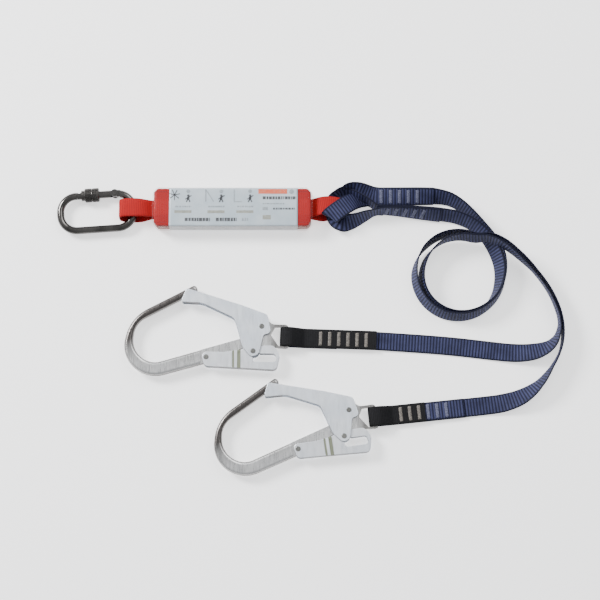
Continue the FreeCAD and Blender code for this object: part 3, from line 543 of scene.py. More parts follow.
def webbing(name, crest, groove_shade, pitch, sheen, fade=0.35, edge=1.0):
    """Woven webbing: cross ribs in step with the mesh with painted shade in the grooves between them, warp
    yarns, fading, and painted shade on the selvedges.
    """
    n = Nodes(name)
    uv = n.add("ShaderNodeUVMap", uv_map="strap").outputs[0]
    split = n.add("ShaderNodeSeparateXYZ")
    n.link(uv, split.inputs[0])
    u, v = split.outputs[0], split.outputs[1]
    # painted shade: the rib wave puts the crest colour on the ribs and the much darker groove colour between
    # them
    wave = n.math("COSINE", n.math("MULTIPLY", u, 2 * math.pi / pitch))
    rib = n.math("SUBTRACT", 0.5, n.math("MULTIPLY", wave, 0.5))
    step = n.math("MULTIPLY", n.math("FLOOR", n.math("MULTIPLY", u, 2 / pitch)), math.pi)
    turned = n.math("ADD", n.math("MULTIPLY", v, 2 * math.pi / YARN_WIDTH), step)
    warp = n.math("ADD", 0.5, n.math("MULTIPLY", n.math("SINE", turned), 0.5))
    weft = n.math("SINE", n.math("MULTIPLY", u, 2 * math.pi / (pitch / 6)))
    weave = n.math("ADD", n.math("MULTIPLY", warp, 0.6), n.math("MULTIPLY", weft, 0.25))
    worn = n.noise(70.0, 4.0)
    fuzz = n.noise(2600.0, 2.0)
    share = n.math("MULTIPLY", rib, n.spread(worn, 0.3, 0.75, 1 - fade, 1.0))
    share = n.math("MULTIPLY", share, n.spread(warp, 0.0, 1.0, 0.72, 1.0))
    share = n.math("MULTIPLY", share, n.spread(fuzz, 0.2, 0.8, 0.8, 1.1))
    half = WEB_WIDTH / 2
    # painted shade: the selvedges darken towards the strap's edges, down to the edge share of the colour
    selvedge_shade = n.spread(n.math("ABSOLUTE", v), half - SELVEDGE_INNER, half - SELVEDGE_OUTER, 1.0, edge)
    share = n.math("MULTIPLY", share, selvedge_shade)
    n.colour(n.mix(share, groove_shade, crest))
    height = n.math("ADD", n.math("MULTIPLY", weave, 0.7), n.math("MULTIPLY", fuzz, 0.3))
    n.link(n.bump(height, 0.55, 0.25 * MM), n.shader.inputs["Normal"])
    n.link(n.spread(fuzz, 0.2, 0.8, 0.62, 0.86), n.shader.inputs["Roughness"])
    n.set(Sheen_Weight=sheen, Sheen_Roughness=0.45, Specular_IOR_Level=0.25)
    n.shader.inputs["Sheen Tint"].default_value = (*crest, 1.0)
    return n.material


def facing_up(n):
    """How far a face lies flat, from 0 on a side wall to 1 on the top or the underside."""
    split = n.add("ShaderNodeSeparateXYZ")
    n.link(n.add("ShaderNodeTexCoord").outputs["Normal"], split.inputs[0])
    return n.spread(n.math("ABSOLUTE", split.outputs[2]), 0.35, 0.93)


def hook_place(n, hook):
    """X and Y along and across a hook, from its webbing eye."""
    turn, eye_centre = HOOK_PLACES[hook]
    place_in = n.add("ShaderNodeMapping", vector_type="TEXTURE")
    place_in.inputs["Location"].default_value = eye_centre
    place_in.inputs["Rotation"].default_value = (0.0, 0.0, math.radians(turn))
    n.link(n.add("ShaderNodeTexCoord").outputs["Object"], place_in.inputs[0])
    split = n.add("ShaderNodeSeparateXYZ")
    n.link(place_in.outputs[0], split.inputs[0])
    return split.outputs[0], split.outputs[1]


def painted_bow_reflection(n, hook, tint):
    """Painted dark reflection on the bow and the webbing eye; the shank keeps the bright alloy colour."""
    x, y = hook_place(n, hook)
    high = n.spread(y, *BOW_REFLECTION_RISES)
    far = n.spread(x, *BOW_REFLECTION_BEGINS)
    # painted reflection: the bow darkens to a dark grey and the part near the eye to a mid grey
    tint = n.mix(n.math("MULTIPLY", high, far), tint, (0.135, 0.125, 0.12))
    return n.mix(n.spread(x, *EYE_REFLECTION_BEGINS), tint, (0.33, 0.32, 0.31))


def lever_grooves(n, hook, tint):
    """Two olive-grey bands with soft edges across the lever, at its two pressed grooves."""
    x, _ = hook_place(n, hook)
    for centre, half in LEVER_GROOVES:
        near = n.math("ABSOLUTE", n.math("SUBTRACT", x, centre))
        tint = n.mix(n.spread(near, half - GROOVE_EDGE, half, 1.0, 0.0), tint, (0.27, 0.29, 0.21))
    return tint


def clear_film(name):
    """Clear film, hardly seen face on and milky beige where it turns down the sides."""
    n = Nodes(name)
    flat = facing_up(n)
    crease = n.noise(240.0, 3.0)
    n.colour(n.mix(flat, (0.45, 0.32, 0.26), (0.95, 0.93, 0.92)))
    n.link(n.spread(flat, 0.0, 1.0, 0.34, 0.012), n.shader.inputs["Alpha"])
    n.link(n.bump(crease, 0.35, 0.5 * MM), n.shader.inputs["Normal"])
    n.set(Roughness=0.14, Coat_Weight=0.5, Coat_Roughness=0.05)
    return n.material


def metal(
    name, light, dark, rough, metallic=1.0, grain=900.0, coat=0.0, side_shade=None, hook=None, paint_on=None,
):
    """Metal with brushed grain, small dents and rubbed places; its side walls may get a darker colour as
    painted shade.
    """
    n = Nodes(name)
    coords = n.add("ShaderNodeTexCoord").outputs["Object"]
    stretch = n.add("ShaderNodeMapping")
    stretch.inputs["Scale"].default_value = (1.0, 0.12, 1.0)
    n.link(coords, stretch.inputs[0])
    fine = n.noise(grain, 4.0, stretch.outputs[0])
    broad = n.noise(38.0, 3.0)
    spots = n.noise(420.0, 5.0, roughness=0.7)
    tint = n.mix(n.spread(broad, 0.3, 0.7), light, dark)
    if paint_on is not None:
        tint = paint_on(n, hook, tint)
    # painted shade: faces that stand upright get the darker side colour
    if side_shade is not None:
        tint = n.mix(facing_up(n), side_shade, tint)
    n.colour(tint)
    n.link(n.spread(fine, 0.25, 0.75, rough * 0.75, rough * 1.3), n.shader.inputs["Roughness"])
    height = n.math("ADD", n.math("MULTIPLY", fine, 0.5), n.math("MULTIPLY", spots, 0.5))
    n.link(n.bump(height, 0.18, 0.06 * MM), n.shader.inputs["Normal"])
    n.set(Metallic=metallic, Coat_Weight=coat, Coat_Roughness=0.12)
    return n.material


def plastic(name, colour, second, rough, scale=60.0, coat=0.0):
    """Smooth sheet or print with faint mottling."""
    n = Nodes(name)
    mottle = n.noise(scale, 4.0)
    n.colour(n.mix(n.spread(mottle, 0.35, 0.7), colour, second))
    n.link(n.spread(mottle, 0.3, 0.7, rough * 0.8, rough * 1.2), n.shader.inputs["Roughness"])
    n.link(n.bump(n.noise(scale * 3, 3.0), 0.12, 0.2 * MM), n.shader.inputs["Normal"])
    n.set(Coat_Weight=coat, Coat_Roughness=0.08)
    return n.material


NAVY = webbing(
    "navy_webbing", (0.070, 0.078, 0.185), (0.0035, 0.0045, 0.018), RIB_PITCH, 0.1, fade=0.5, edge=0.04,
)
BLACK = webbing("black_webbing", (0.009, 0.009, 0.012), (0.0015, 0.0015, 0.002), FINE_PITCH, 0.02, edge=0.4)
RED = webbing(
    "red_webbing", (0.50, 0.008, 0.006), (0.27, 0.003, 0.004), FINE_PITCH, 0.05, fade=0.2, edge=0.5,
)
THREAD = plastic("tack_thread", (0.24, 0.215, 0.19), (0.04, 0.036, 0.034), 0.75, 900.0)
DARK_THREAD = plastic("dark_thread", (0.10, 0.012, 0.015), (0.05, 0.006, 0.01), 0.7, 900.0)
LABEL = plastic("label_sleeve", (0.42, 0.50, 0.56), (0.51, 0.58, 0.63), 0.42, 45.0, coat=0.2)
FILM = clear_film("clear_film")
INK_DARK = plastic("ink_dark", (0.035, 0.04, 0.045), (0.09, 0.09, 0.10), 0.5, 400.0)
INK_GREY = plastic("ink_grey", (0.24, 0.28, 0.31), (0.34, 0.38, 0.41), 0.5, 400.0)
INK_RED = plastic("ink_red", (0.72, 0.10, 0.04), (0.64, 0.17, 0.09), 0.45, 300.0)
INK_OLIVE = plastic("ink_olive", (0.24, 0.25, 0.22), (0.33, 0.34, 0.30), 0.5, 300.0)
NAVY_THREAD = plastic("navy_tack_thread", (0.15, 0.155, 0.235), (0.035, 0.04, 0.09), 0.75, 900.0)
DARK_STEEL = metal(
    "dark_steel", (0.21, 0.20, 0.19), (0.05, 0.048, 0.046), 0.17, grain=500.0, coat=0.3,
    side_shade=(0.03, 0.028, 0.027),
)
KNURLED_STEEL = metal(
    "knurled_steel", (0.2, 0.19, 0.18), (0.08, 0.077, 0.074), 0.28, grain=700.0, side_shade=(0.04, 0.038, 0.037),
)
ALLOYS = {
    hook: metal(
        hook + "_forged_alloy", (0.92, 0.92, 0.91), (0.78, 0.78, 0.78), 0.3, grain=700.0,
        side_shade=(0.13, 0.12, 0.115), hook=hook, paint_on=painted_bow_reflection,
    )
    for hook in HOOK_PLACES
}
# painted shade for the side walls of the pressed plates
PLATE_SIDE_SHADE = (0.17, 0.165, 0.17)
PRESSED = metal(
    "zinc_plate", (0.86, 0.90, 0.95), (0.74, 0.80, 0.88), 0.4, metallic=0.7, grain=500.0, side_shade=PLATE_SIDE_SHADE,
)
LEVERS = {
    hook: metal(
        hook + "_lever_plate", (0.86, 0.88, 0.91), (0.76, 0.80, 0.86), 0.4, metallic=0.7, grain=500.0,
        side_shade=PLATE_SIDE_SHADE, hook=hook, paint_on=lever_grooves,
    )
    for hook in HOOK_PLACES
}
RIVET = metal("rivet_steel", (0.3, 0.3, 0.28), (0.18, 0.18, 0.17), 0.35)
SPRING = metal("spring_wire", (0.38, 0.38, 0.37), (0.22, 0.22, 0.22), 0.3)


# ---- camera, floor and light ---------------------------------------------------------------------
def make_camera():
    """The camera at the photograph's angle."""
    data = bpy.data.cameras.new("camera")
    data.lens = CAMERA_LENS
    data.sensor_width = SENSOR_WIDTH
    camera = bpy.data.objects.new("camera", data)
    bpy.context.scene.collection.objects.link(camera)
    back = Vector((0.0, -math.cos(CAMERA_ELEVATION), math.sin(CAMERA_ELEVATION)))
    camera.location = LOOK_AT + back * CAMERA_DISTANCE
    camera.rotation_euler = (-back).to_track_quat("-Z", "Y").to_euler()
    bpy.context.scene.camera = camera


def make_floor():
    """A plain pale floor."""
    bm = bmesh.new()
    bmesh.ops.create_grid(bm, x_segments=2, y_segments=2, size=FLOOR_HALF)
    n = Nodes("pale_floor")
    n.set(Roughness=0.9, Emission_Strength=FLOOR_GLOW)
    n.shader.inputs["Base Color"].default_value = (0.95, 0.95, 0.955, 1.0)
    n.shader.inputs["Emission Color"].default_value = (1.0, 1.0, 1.0, 1.0)
    floor = new_object("floor", mesh_of("floor", bm), n.material)


def make_light(name, location, size, power):
    """One soft square light, aimed at the object."""
    data = bpy.data.lights.new(name, "AREA")
    data.size = size
    data.energy = power
    light = bpy.data.objects.new(name, data)
    bpy.context.scene.collection.objects.link(light)
    light.location = location
    aim = Vector((LOOK_AT.x, LOOK_AT.y, 0.0)) - Vector(location)
    light.rotation_euler = aim.to_track_quat("-Z", "Y").to_euler()


def make_studio():
    """Camera, floor, soft lights and a pale surround."""
    make_camera()
    make_floor()
    for name, location, size, power in LIGHTS:
        make_light(name, location, size, power)
    world = bpy.data.worlds.new("surround")
    world.use_nodes = True
    surround = world.node_tree.nodes["Background"]
    surround.inputs[0].default_value = (0.95, 0.97, 1.0, 1.0)
    surround.inputs[1].default_value = SURROUND_STRENGTH
    bpy.context.scene.world = world


# ---- the two tails -------------------------------------------------------------------------------
def coil_points(radii, rolls):
    """Control points of one strap's turn in the coil, clockwise."""
    points = []
    for k in range(COIL_POINTS):
        turned = COIL_TURN * k / (COIL_POINTS - 1)
        radius = float(np.interp(turned, STATION_ANGLES, radii)) * MM * COIL_EASE
        height = float(np.interp(turned, STATION_ANGLES, COIL_HEIGHTS)) * MM
        roll = float(np.interp(turned, STATION_ANGLES, rolls))
        angle = math.radians(COIL_STARTS_AT - turned)
        spot = COIL_CENTRE + Vector((math.cos(angle), math.sin(angle), 0)) * radius
        points.append((spot.x, spot.y, height, roll))
    return points


def make_tail(name, points, nodes):
    """One tail's free webbing: the lead, one turn of the coil and the run to its hook."""
    line, parameter = spline_line(name + "_route", points)
    rolls = along_control([p[3] for p in points], parameter)
    (line, rolls), along = resampled(line, rolls)
    piece = strap(name, line, rolled_widths(line, rolls), along, NAVY)
    place(piece, "absorber", "navy_webbing", *nodes)


def make_tails():
    """Both tails. Tail b leaves the upper sewn end, takes the coil's outer turn and runs on to hook b."""
    inner = HOOK_A_LEAD + coil_points(INNER_RADII, INNER_ROLLS) + HOOK_A_RUN
    outer = HOOK_B_LEAD + coil_points(OUTER_RADII, OUTER_ROLLS) + HOOK_B_RUN
    make_tail("tail_to_hook_a", inner, ["tail_a_lead", "tail_a_run", "tail_coil"])
    make_tail("tail_to_hook_b", outer, ["tail_b_lead", "tail_b_run"])


# ---- bar tacks and stitches ----------------------------------------------------------------------
def bar_tack(bm, centre, run, across, up, length, width=TACK_WIDTH, height=TACK_HEIGHT):
    """One bar tack: satin stitches side by side along its length, as a low ridged dome."""
    stitches = round(length / THREAD_PITCH)
    steps = stitches * 4
    rows = []
    for i in range(steps + 1):
        t = i / steps
        ridge = 0.5 - 0.5 * math.cos(2 * math.pi * stitches * t)
        end = min(1.0, 12 * t, 12 * (1 - t))
        row = []
        for s in TACK_PROFILE:
            dome = math.sqrt(max(0.0, 1 - s * s)) * 0.8 + 0.2 * (1 - s * s)
            lift = height * end * dome * (0.72 + 0.28 * ridge)
            slant = TACK_SLANT * s
            spot = centre + across * ((t - 0.5) * length + slant)
            spot = spot + run * (s * width / 2 * (0.94 + 0.06 * ridge))
            row.append(bm.verts.new(spot + up * (lift - TACK_SINK)))
        rows.append(row)
    for first, second in zip(rows, rows[1:]):
        for k in range(len(TACK_PROFILE) - 1):
            bm.faces.new((first[k], first[k + 1], second[k + 1], second[k]))
    for first, second in zip(rows, rows[1:]):
        bm.faces.new((first[-1], first[0], second[0], second[-1]))
    bm.faces.new(rows[0])
    bm.faces.new(list(reversed(rows[-1])))


def tack_piece(name, places, material, body, *nodes):
    """A row of bar tacks as one piece: each place is a centre, three directions and a length."""
    bm = bmesh.new()
    for centre, run, across, up, length in places:
        bar_tack(bm, Vector(centre), Vector(run), Vector(across), Vector(up), length)
    return place(new_object(name, mesh_of(name, bm), material), body, "sewing_thread", *nodes)


# ---- webbing folded round each hook's eye --------------------------------------------------------
def wrap_line(radius, middle, top, bottom, top_end, bottom_end):
    """Straight runs and round bends from one cut end, over the eye's bar and back to the other."""
    slope, flat = WRAP_SLOPE, WRAP_FLAT
    level = flat + WRAP_LEVEL
    upper = [(top_end, top), (level, top), (flat, top), (slope, middle + radius), (0.0, middle + radius)]
    points = [Vector((x, 0, z)) for x, z in upper]
    for k in range(1, WRAP_STEPS):
        angle = math.radians(90 + 180 * k / WRAP_STEPS)
        points.append(Vector((radius * math.cos(angle), 0, middle + radius * math.sin(angle))))
    lower = [
        (0.0, middle - radius), (slope, middle - radius), (flat, bottom), (level, bottom),
        (bottom_end, bottom),
    ]
    return np.array([tuple(p) for p in points + [Vector((x, 0, z)) for x, z in lower]])


def softened(line, rounds=SOFTENING_ROUNDS):
    """A line whose corners are rubbed round, its ends kept."""
    (line,), _ = resampled(line)
    for _ in range(rounds):
        line[1:-1] = 0.25 * line[:-2] + 0.5 * line[1:-1] + 0.25 * line[2:]
    return line


def turned_line(line, origin, degrees):
    """A line turned about Z and moved to a place."""
    a = math.radians(degrees)
    turned = line.copy()
    turned[:, 0] = line[:, 0] * math.cos(a) - line[:, 1] * math.sin(a) + origin.x
    turned[:, 1] = line[:, 0] * math.sin(a) + line[:, 1] * math.cos(a) + origin.y
    return turned


def fold_layer(hook, origin, turn, across, layer):
    """One folded layer at a hook's eye: the tail's own end, or the wear strip over it."""
    piece, radius, thick, heights, ends, web, slot, ribs, width = layer
    line = softened(turned_line(wrap_line(radius, EYE_HEIGHT, *heights, *ends), origin, turn))
    (line,), along = resampled(line)
    wides = np.tile(np.array(across), (len(line), 1))
    made = strap(hook + "_" + piece + "_webbing", line, wides, along, web, width, thick, ribs, cup=WEAR_CUP)
    place(made, "absorber", slot, hook + "_" + piece)


def make_hook_ends():
    """Each tail's end folded round its hook's eye, the black wear strip over it and six bar tacks."""
    bottom = FLOOR + WEAR_THICK + LAYER_GAP + WEB_THICK / 2
    top = bottom + WEB_THICK + LAYER_GAP
    wear_top = top + WEB_THICK / 2 + LAYER_GAP + WEAR_THICK / 2
    wear_bottom = FLOOR + WEAR_THICK / 2
    for hook, (origin, turn, over, under, first, covered_tacks) in HOOK_ENDS.items():
        across = (-math.sin(math.radians(turn)), math.cos(math.radians(turn)), 0.0)
        run = (math.cos(math.radians(turn)), math.sin(math.radians(turn)), 0.0)
        fold_layer(hook, origin, turn, across, (
            "end_fold", FOLD_RADIUS, WEB_THICK, (top, bottom), (FOLD_LENGTH, FOLD_LENGTH),
            NAVY, "navy_webbing", (RIB_PITCH, RIB_DEPTH), WEB_WIDTH,
        ))
        fold_layer(hook, origin, turn, across, (
            "wear_strip", WEAR_RADIUS, WEAR_THICK, (wear_top, wear_bottom), (over, under),
            BLACK, "black_webbing", (FINE_PITCH, FINE_DEPTH), WEAR_WIDTH,
        ))
        for group, material, numbers, height, nodes in (
            ("pale", THREAD, range(covered_tacks), wear_top + WEAR_THICK / 2, [hook + "_end_tacks"]),
            ("navy", NAVY_THREAD, range(covered_tacks, TACKS), top + WEB_THICK / 2, []),
        ):
            places = []
            for k in numbers:
                centre = origin + Vector(run) * (first + k * TACK_PITCH) + UP * (height - TACK_OVERLAP)
                places.append((centre, run, across, UP, TACK_LENGTH))
            if places:
                tack_piece(hook + "_" + group + "_tacks", places, material, "absorber", *nodes)


# ---- sewn ends and hitched eyes ------------------------------------------------------------------
def make_sewn_ends():
    """Each tail's doubled end behind its eye, with five bar tacks."""
    half = (WEB_THICK + LAYER_GAP) / 2
    for name, (route, slant, length) in SEWN_ENDS.items():
        line, parameter = spline_line(name + "_sewn_route", [p[:3] for p in route])
        (line, rolls), along = resampled(line, along_control([p[3] for p in route], parameter))
        wides = rolled_widths(line, rolls)
        heading = tangents_of(line)
        thins = np.cross(heading, wides)
        top = strap(name + "_sewn_top", line - thins * half, wides, along, NAVY, cup=0.5 * MM)
        place(top, "absorber", "navy_webbing", name + "_sewn_end")
        under = strap(name + "_sewn_under", line + thins * half, wides, along, NAVY)
        place(under, "absorber", "navy_webbing")
        places = []
        for k in range(SEWN_TACKS):
            i = int(np.argmin(np.abs(along - FIRST_SEWN_TACK - k * TACK_PITCH)))
            run, across = Vector(heading[i]), Vector(wides[i])
            up = Vector(-thins[i])
            turn = Quaternion(up, math.radians(slant))
            spot = Vector(line[i]) + up * (half + WEB_THICK / 2 - TACK_OVERLAP)
            places.append((spot, turn @ run, turn @ across, up, length))
        tack_piece(name + "_bar_tacks", places, NAVY_THREAD, "absorber", name + "_tacks")


def eye(name, route, node):
    """A tail's eye: a strap whose width is aimed at each control point."""
    points = [tuple(c * MM for c in p[:3]) for p in route]
    line, parameter = spline_line(name + "_route", points)
    wides = np.stack([along_control([p[k] for p in route], parameter) for k in (3, 4, 5)], axis=1)
    (line, wides), along = resampled(line, wides)
    made = strap(name, line, squared_widths(line, wides), along, NAVY, cup=0.2 * MM)
    place(made, "absorber", "navy_webbing", node)


def make_eyes():
    """Both tails' eyes, hitched to the red loop."""
    eye("tail_b_hitch", UPPER_EYE, "tail_b_eye")
    eye("tail_a_hitch", LOWER_EYE, "tail_a_eye")


# ---- red loops -----------------------------------------------------------------------------------
def red_loop(name, route, node):
    """A loop of red webbing that leaves the pack, with its own slack and pinch at each control point."""
    points = [tuple(c * MM for c in p[:3]) for p in route]
    line, parameter = spline_line(name + "_route", points)
    pinch = along_control([p[3] for p in route], parameter)
    tilt = along_control([p[4] for p in route], parameter)
    (line, pinch, tilt), along = resampled(line, pinch, tilt)
    wides = np.stack([np.zeros(len(line)), np.cos(np.radians(tilt)), np.sin(np.radians(tilt))], axis=1)
    wides = squared_widths(line, wides)
    made = strap(name, line, wides, along, RED, ribs=(FINE_PITCH, RED_RIB_DEPTH), pinch=pinch, cup=0.25 * MM)
    place(made, "absorber", "red_webbing", node)


def make_red_loops():
    """The harness loop and the tails' loop."""
    red_loop("harness_loop_webbing", HARNESS_LOOP, "harness_loop")
    red_loop("tail_loop_webbing", TAIL_LOOP, "tail_loop")


# ---- absorber pack -------------------------------------------------------------------------------
def pack_section(half_width, low, high, corner, count=6):
    """A rounded rectangle across the pack: (y, z) points."""
    points = []
    for cy, cz, start in (
        (half_width - corner, high - corner, 0),
        (-half_width + corner, high - corner, 90),
        (-half_width + corner, low + corner, 180),
        (half_width - corner, low + corner, 270),
    ):
        for k in range(count + 1):
            angle = math.radians(start + 90 * k / count)
            points.append((cy + corner * math.cos(angle), cz + corner * math.sin(angle)))
    return points


def lofted(bm, sections, closed_ends=True):
    """Rings of points joined into a skin; each section is (x, [(y, z), ...])."""
    uv = bm.loops.layers.uv.new("strap")
    rings = [[bm.verts.new((x, y, z)) for y, z in points] for x, points in sections]
    faces = []
    for first, second in zip(rings, rings[1:]):
        for k in range(len(first)):
            faces.append(bm.faces.new((first[k - 1], first[k], second[k], second[k - 1])))
    if closed_ends:
        faces += [bm.faces.new(rings[0]), bm.faces.new(rings[-1])]
    for face in faces:
        for loop in face.loops:
            loop[uv].uv = (loop.vert.co.x, loop.vert.co.y)


def end_taper(x, cut_x, cut_y):
    """How much narrower the pack is at x, where its corners are cut off."""
    into = max(0.0, abs(x) - (PACK_HALF_LENGTH - cut_x)) / cut_x
    return cut_y * into ** 1.35


def make_pack_webbing(rng):
    """The tear webbing's folded layers, their cut corners showing at both ends under the film."""
    bm = bmesh.new()
    pitch = (PACK_HEIGHT - 2 * TEAR_CLEARANCE) / TEAR_LAYERS
    stations = np.concatenate([
        np.linspace(-1, -0.86, 12), np.linspace(-0.8, 0.8, 9), np.linspace(0.86, 1, 12),
    ])
    for layer in range(TEAR_LAYERS):
        low = TEAR_CLEARANCE + layer * pitch
        shift = rng.uniform(-0.5, 0.5) * MM
        reach = PACK_HALF_LENGTH - TEAR_END_GAP - abs(rng.uniform(0, 0.8)) * MM
        made = bmesh.new()
        sections = []
        for s in stations:
            x = s * reach
            half = PACK_HALF_WIDTH - TEAR_SIDE_GAP - end_taper(x, CUT_X, CUT_Y)
            round_end = math.sqrt(max(0.0, 1 - max(0.0, (abs(s) - 0.985) / 0.015) ** 2))
            thick = (pitch - TEAR_LAYER_GAP) * (0.35 + 0.65 * round_end)
            middle = low + pitch / 2
            section = pack_section(half, middle - thick / 2, middle + thick / 2, thick * 0.42, 4)
            sections.append((x, [(y + shift, z) for y, z in section]))
        lofted(made, sections)
        mesh = bpy.data.meshes.new("layer")
        made.to_mesh(mesh)
        made.free()
        bm.from_mesh(mesh)
        bpy.data.meshes.remove(mesh)
    piece = new_object("tear_webbing_stack", mesh_of("tear_webbing_stack", bm), RED)
    place(piece, "absorber", "red_webbing", "tear_webbing")


def make_pack_stitching():
    """Lengthwise rows of dark stitches near both edges of the red webbing, at each end."""
    bm = bmesh.new()
    top = PACK_HEIGHT - 1.72 * MM
    for side in (-1, 1):
        for y in (-STITCH_Y, STITCH_Y):
            for k in range(STITCHES):
                x = side * (STITCH_START + k * STITCH_PITCH)
                bar_tack(bm, Vector((x, y, top)), Vector((0, 1, 0)), Vector((1, 0, 0)), UP, *STITCH_SIZE)
    piece = new_object("edge_stitches", mesh_of("edge_stitches", bm), DARK_THREAD)
    place(piece, "absorber", "sewing_thread", "pack_stitching")


def make_label():
    """The printed sleeve, a little loose round the webbing."""
    bm = bmesh.new()
    low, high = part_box("label_sleeve")
    sections = []
    for x in np.linspace(low.x, high.x, 60):
        wave = 0.12 * MM * math.sin(x * 55) + 0.05 * MM * math.sin(x * 190)
        top = high.z - LABEL_GAP + wave
        sections.append((x, pack_section(high.y - LABEL_GAP, low.z, top, LABEL_CORNER)))
    lofted(bm, sections, closed_ends=False)
    piece = new_object("label_print_sleeve", mesh_of("label_print_sleeve", bm), LABEL)
    thicken = piece.modifiers.new("thickness", "SOLIDIFY")
    thicken.thickness = LABEL_THICK
    thicken.offset = -1.0
    place(piece, "absorber", "label_print", "label_sleeve")


def make_film():
    """The clear shrink film: tight over the pack, puckered round both ends."""
    bm = bmesh.new()
    sections = []
    stations = np.concatenate([
        np.linspace(-1, -0.86, 26), np.linspace(-0.85, 0.85, 60), np.linspace(0.86, 1, 26),
    ])
    for s in stations:
        x = s * (PACK_HALF_LENGTH - FILM_GAP)
        near = max(0.0, (abs(s) - PUCKER_FROM) / (1 - PUCKER_FROM))
        half = PACK_HALF_WIDTH - FILM_GAP - end_taper(x, CUT_X, CUT_Y)
        low = FILM_GAP + FILM_DROP * near ** 4
        points = []
        for k, (y, z) in enumerate(pack_section(half, low, PACK_HEIGHT - low, FILM_CORNER, 8)):
            pucker = FILM_PUCKER * near * math.sin(k * 2.1 + 40 * s)
            points.append((y * (1 - pucker / half), z - abs(pucker) * (1 if z > PACK_HEIGHT / 2 else -1)))
        sections.append((x, points))
    for side in (0, -1):
        x, ring = sections[side]
        for step in (0.9, 0.78):
            inner = [(y * step, (z - PACK_HEIGHT / 2) * step + PACK_HEIGHT / 2) for y, z in ring]
            sections.insert(0 if side == 0 else len(sections), (x * (1 - 0.002 * (1 - step)), inner))
    lofted(bm, sections, closed_ends=False)
    piece = new_object("clear_film_cover", mesh_of("clear_film_cover", bm), FILM)
    place(piece, "absorber", "clear_film", "clear_cover")


class Ink:
    """Flat printed shapes on the label's top face, all in one colour."""

    def __init__(self, name, material):
        self.name = name
        self.material = material
        self.bm = bmesh.new()
        self.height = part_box("label_sleeve")[1].z + INK_LIFT

    def polygon(self, points):
        corners = [self.bm.verts.new((x * MM, y * MM, self.height)) for x, y in points]
        self.bm.faces.new(corners)

    def bar(self, x0, x1, y, height):
        low, high = y - height / 2, y + height / 2
        self.polygon([(x0, low), (x1, low), (x1, high), (x0, high)])

    def disc(self, x, y, radius):
        turns = [2 * math.pi * k / 20 for k in range(20)]
        self.polygon([(x + radius * math.cos(t), y + radius * math.sin(t)) for t in turns])

    def stroke(self, x0, y0, x1, y1, width):
        along = Vector((x1 - x0, y1 - y0)).normalized() * (width / 2)
        self.polygon([
            (x0 + along.y, y0 - along.x), (x1 + along.y, y1 - along.x),
            (x1 - along.y, y1 + along.x), (x0 - along.y, y0 + along.x),
        ])

    def dashes(self, x0, x1, y, height, rng):
        """A row of short marks of uneven length, which stands for a printed line."""
        x = x0
        while x < x1:
            length = rng.uniform(1.2, 4.2)
            self.bar(x, min(x + length, x1), y, height)
            x += length + rng.uniform(0.6, 1.2)

    def finish(self):
        bmesh.ops.triangulate(self.bm, faces=self.bm.faces)
        for face in self.bm.faces:
            face.normal_update()
            if face.normal.z < 0:
                face.normal_flip()
        mesh = bpy.data.meshes.new(self.name)
        self.bm.to_mesh(mesh)
        self.bm.free()
        place(new_object(self.name, mesh, self.material), "absorber", "label_print")


def small_person(ink, x, y, size):
    """A plain standing figure with one raised arm."""
    ink.disc(x, y + PERSON_HEAD[0] * size, PERSON_HEAD[1] * size)
    for x0, y0, x1, y1, width in PERSON_STROKES:
        ink.stroke(x + x0 * size, y + y0 * size, x + x1 * size, y + y1 * size, width * size)


def make_sun(ink):
    """Rays round a point, at the label's left end."""
    x, y = SUN_CENTRE
    for k in range(SUN_RAYS):
        angle = math.radians(12 + 360 / SUN_RAYS * k)
        ink.stroke(x, y, x + SUN_REACH * math.cos(angle), y + SUN_REACH * math.sin(angle), LINE_WIDTH)


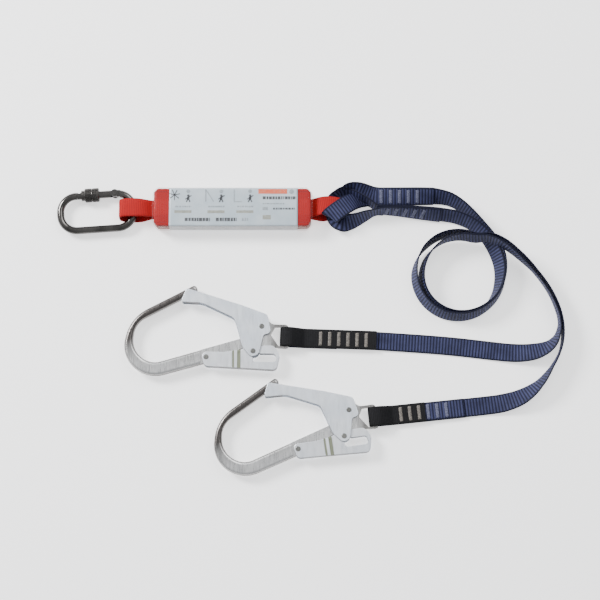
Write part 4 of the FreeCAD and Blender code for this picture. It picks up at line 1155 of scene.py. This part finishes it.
def make_pictogram(inks, x, rng):
    """One figure with a disc above it, a row of marks and a bar below it."""
    small_person(inks["dark"], x + PERSON_SHIFT, PERSON_FOOT, PERSON_SIZE)
    inks["grey"].disc(x + PERSON_SHIFT, *PICTOGRAM_DISC)
    left, right, y, height = PICTOGRAM_MARKS
    inks["grey"].dashes(x + left, x + right, y, height, rng)
    left, right, y, height = PICTOGRAM_BAR
    inks["olive"].bar(x + left, x + right, y, height)


def make_print(rng):
    """Generic pictograms, bars and rows of marks in four inks."""
    inks = {
        "dark": Ink("print_dark", INK_DARK), "grey": Ink("print_grey", INK_GREY),
        "red": Ink("print_red", INK_RED), "olive": Ink("print_olive", INK_OLIVE),
    }
    make_sun(inks["dark"])
    for ends in CORNER_LINES:
        inks["grey"].stroke(*ends, LINE_WIDTH)
    for x in PICTOGRAMS:
        make_pictogram(inks, x, rng)
    for colour, shape, numbers in PRINT_ROWS:
        if shape == "dashes":
            inks[colour].dashes(*numbers, rng)
        elif shape == "bar":
            inks[colour].bar(*numbers)
        else:
            inks[colour].disc(*numbers)
    for ink in inks.values():
        ink.finish()


def make_pack():
    """Everything of the absorber pack that shows."""
    rng = np.random.default_rng(RANDOM_SEED)
    make_pack_webbing(rng)
    make_pack_stitching()
    make_label()
    make_print(rng)
    make_film()


# ---- metal parts ---------------------------------------------------------------------------------
def paint(node, material):
    """Gives a CAD node its finish."""
    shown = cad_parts[node]
    if not shown.data.materials:
        shown.data.materials.append(material)
    for slot in shown.material_slots:
        slot.material = material


def paint_metal():
    """The carabiner's and the hooks' finishes."""
    for node in ("carabiner_body", "carabiner_gate", "carabiner_gate_rivet", "carabiner_nose_pin"):
        paint(node, DARK_STEEL)
    paint("carabiner_lock_sleeve", KNURLED_STEEL)
    paint("carabiner_gate_spring", SPRING)
    paint("carabiner_gate_plunger", SPRING)
    for hook in HOOK_PLACES:
        paint(hook + "_body", ALLOYS[hook])
        paint(hook + "_gate", PRESSED)
        paint(hook + "_lever", LEVERS[hook])
        for piece in ("gate_rivet", "lever_rivet", "lock_pin"):
            paint(hook + "_" + piece, RIVET)
        for piece in ("gate_spring", "lever_spring"):
            paint(hook + "_" + piece, SPRING)


# ---- everything ----------------------------------------------------------------------------------
make_studio()
make_tails()
make_sewn_ends()
make_eyes()
make_red_loops()
make_hook_ends()
make_pack()
paint_metal()
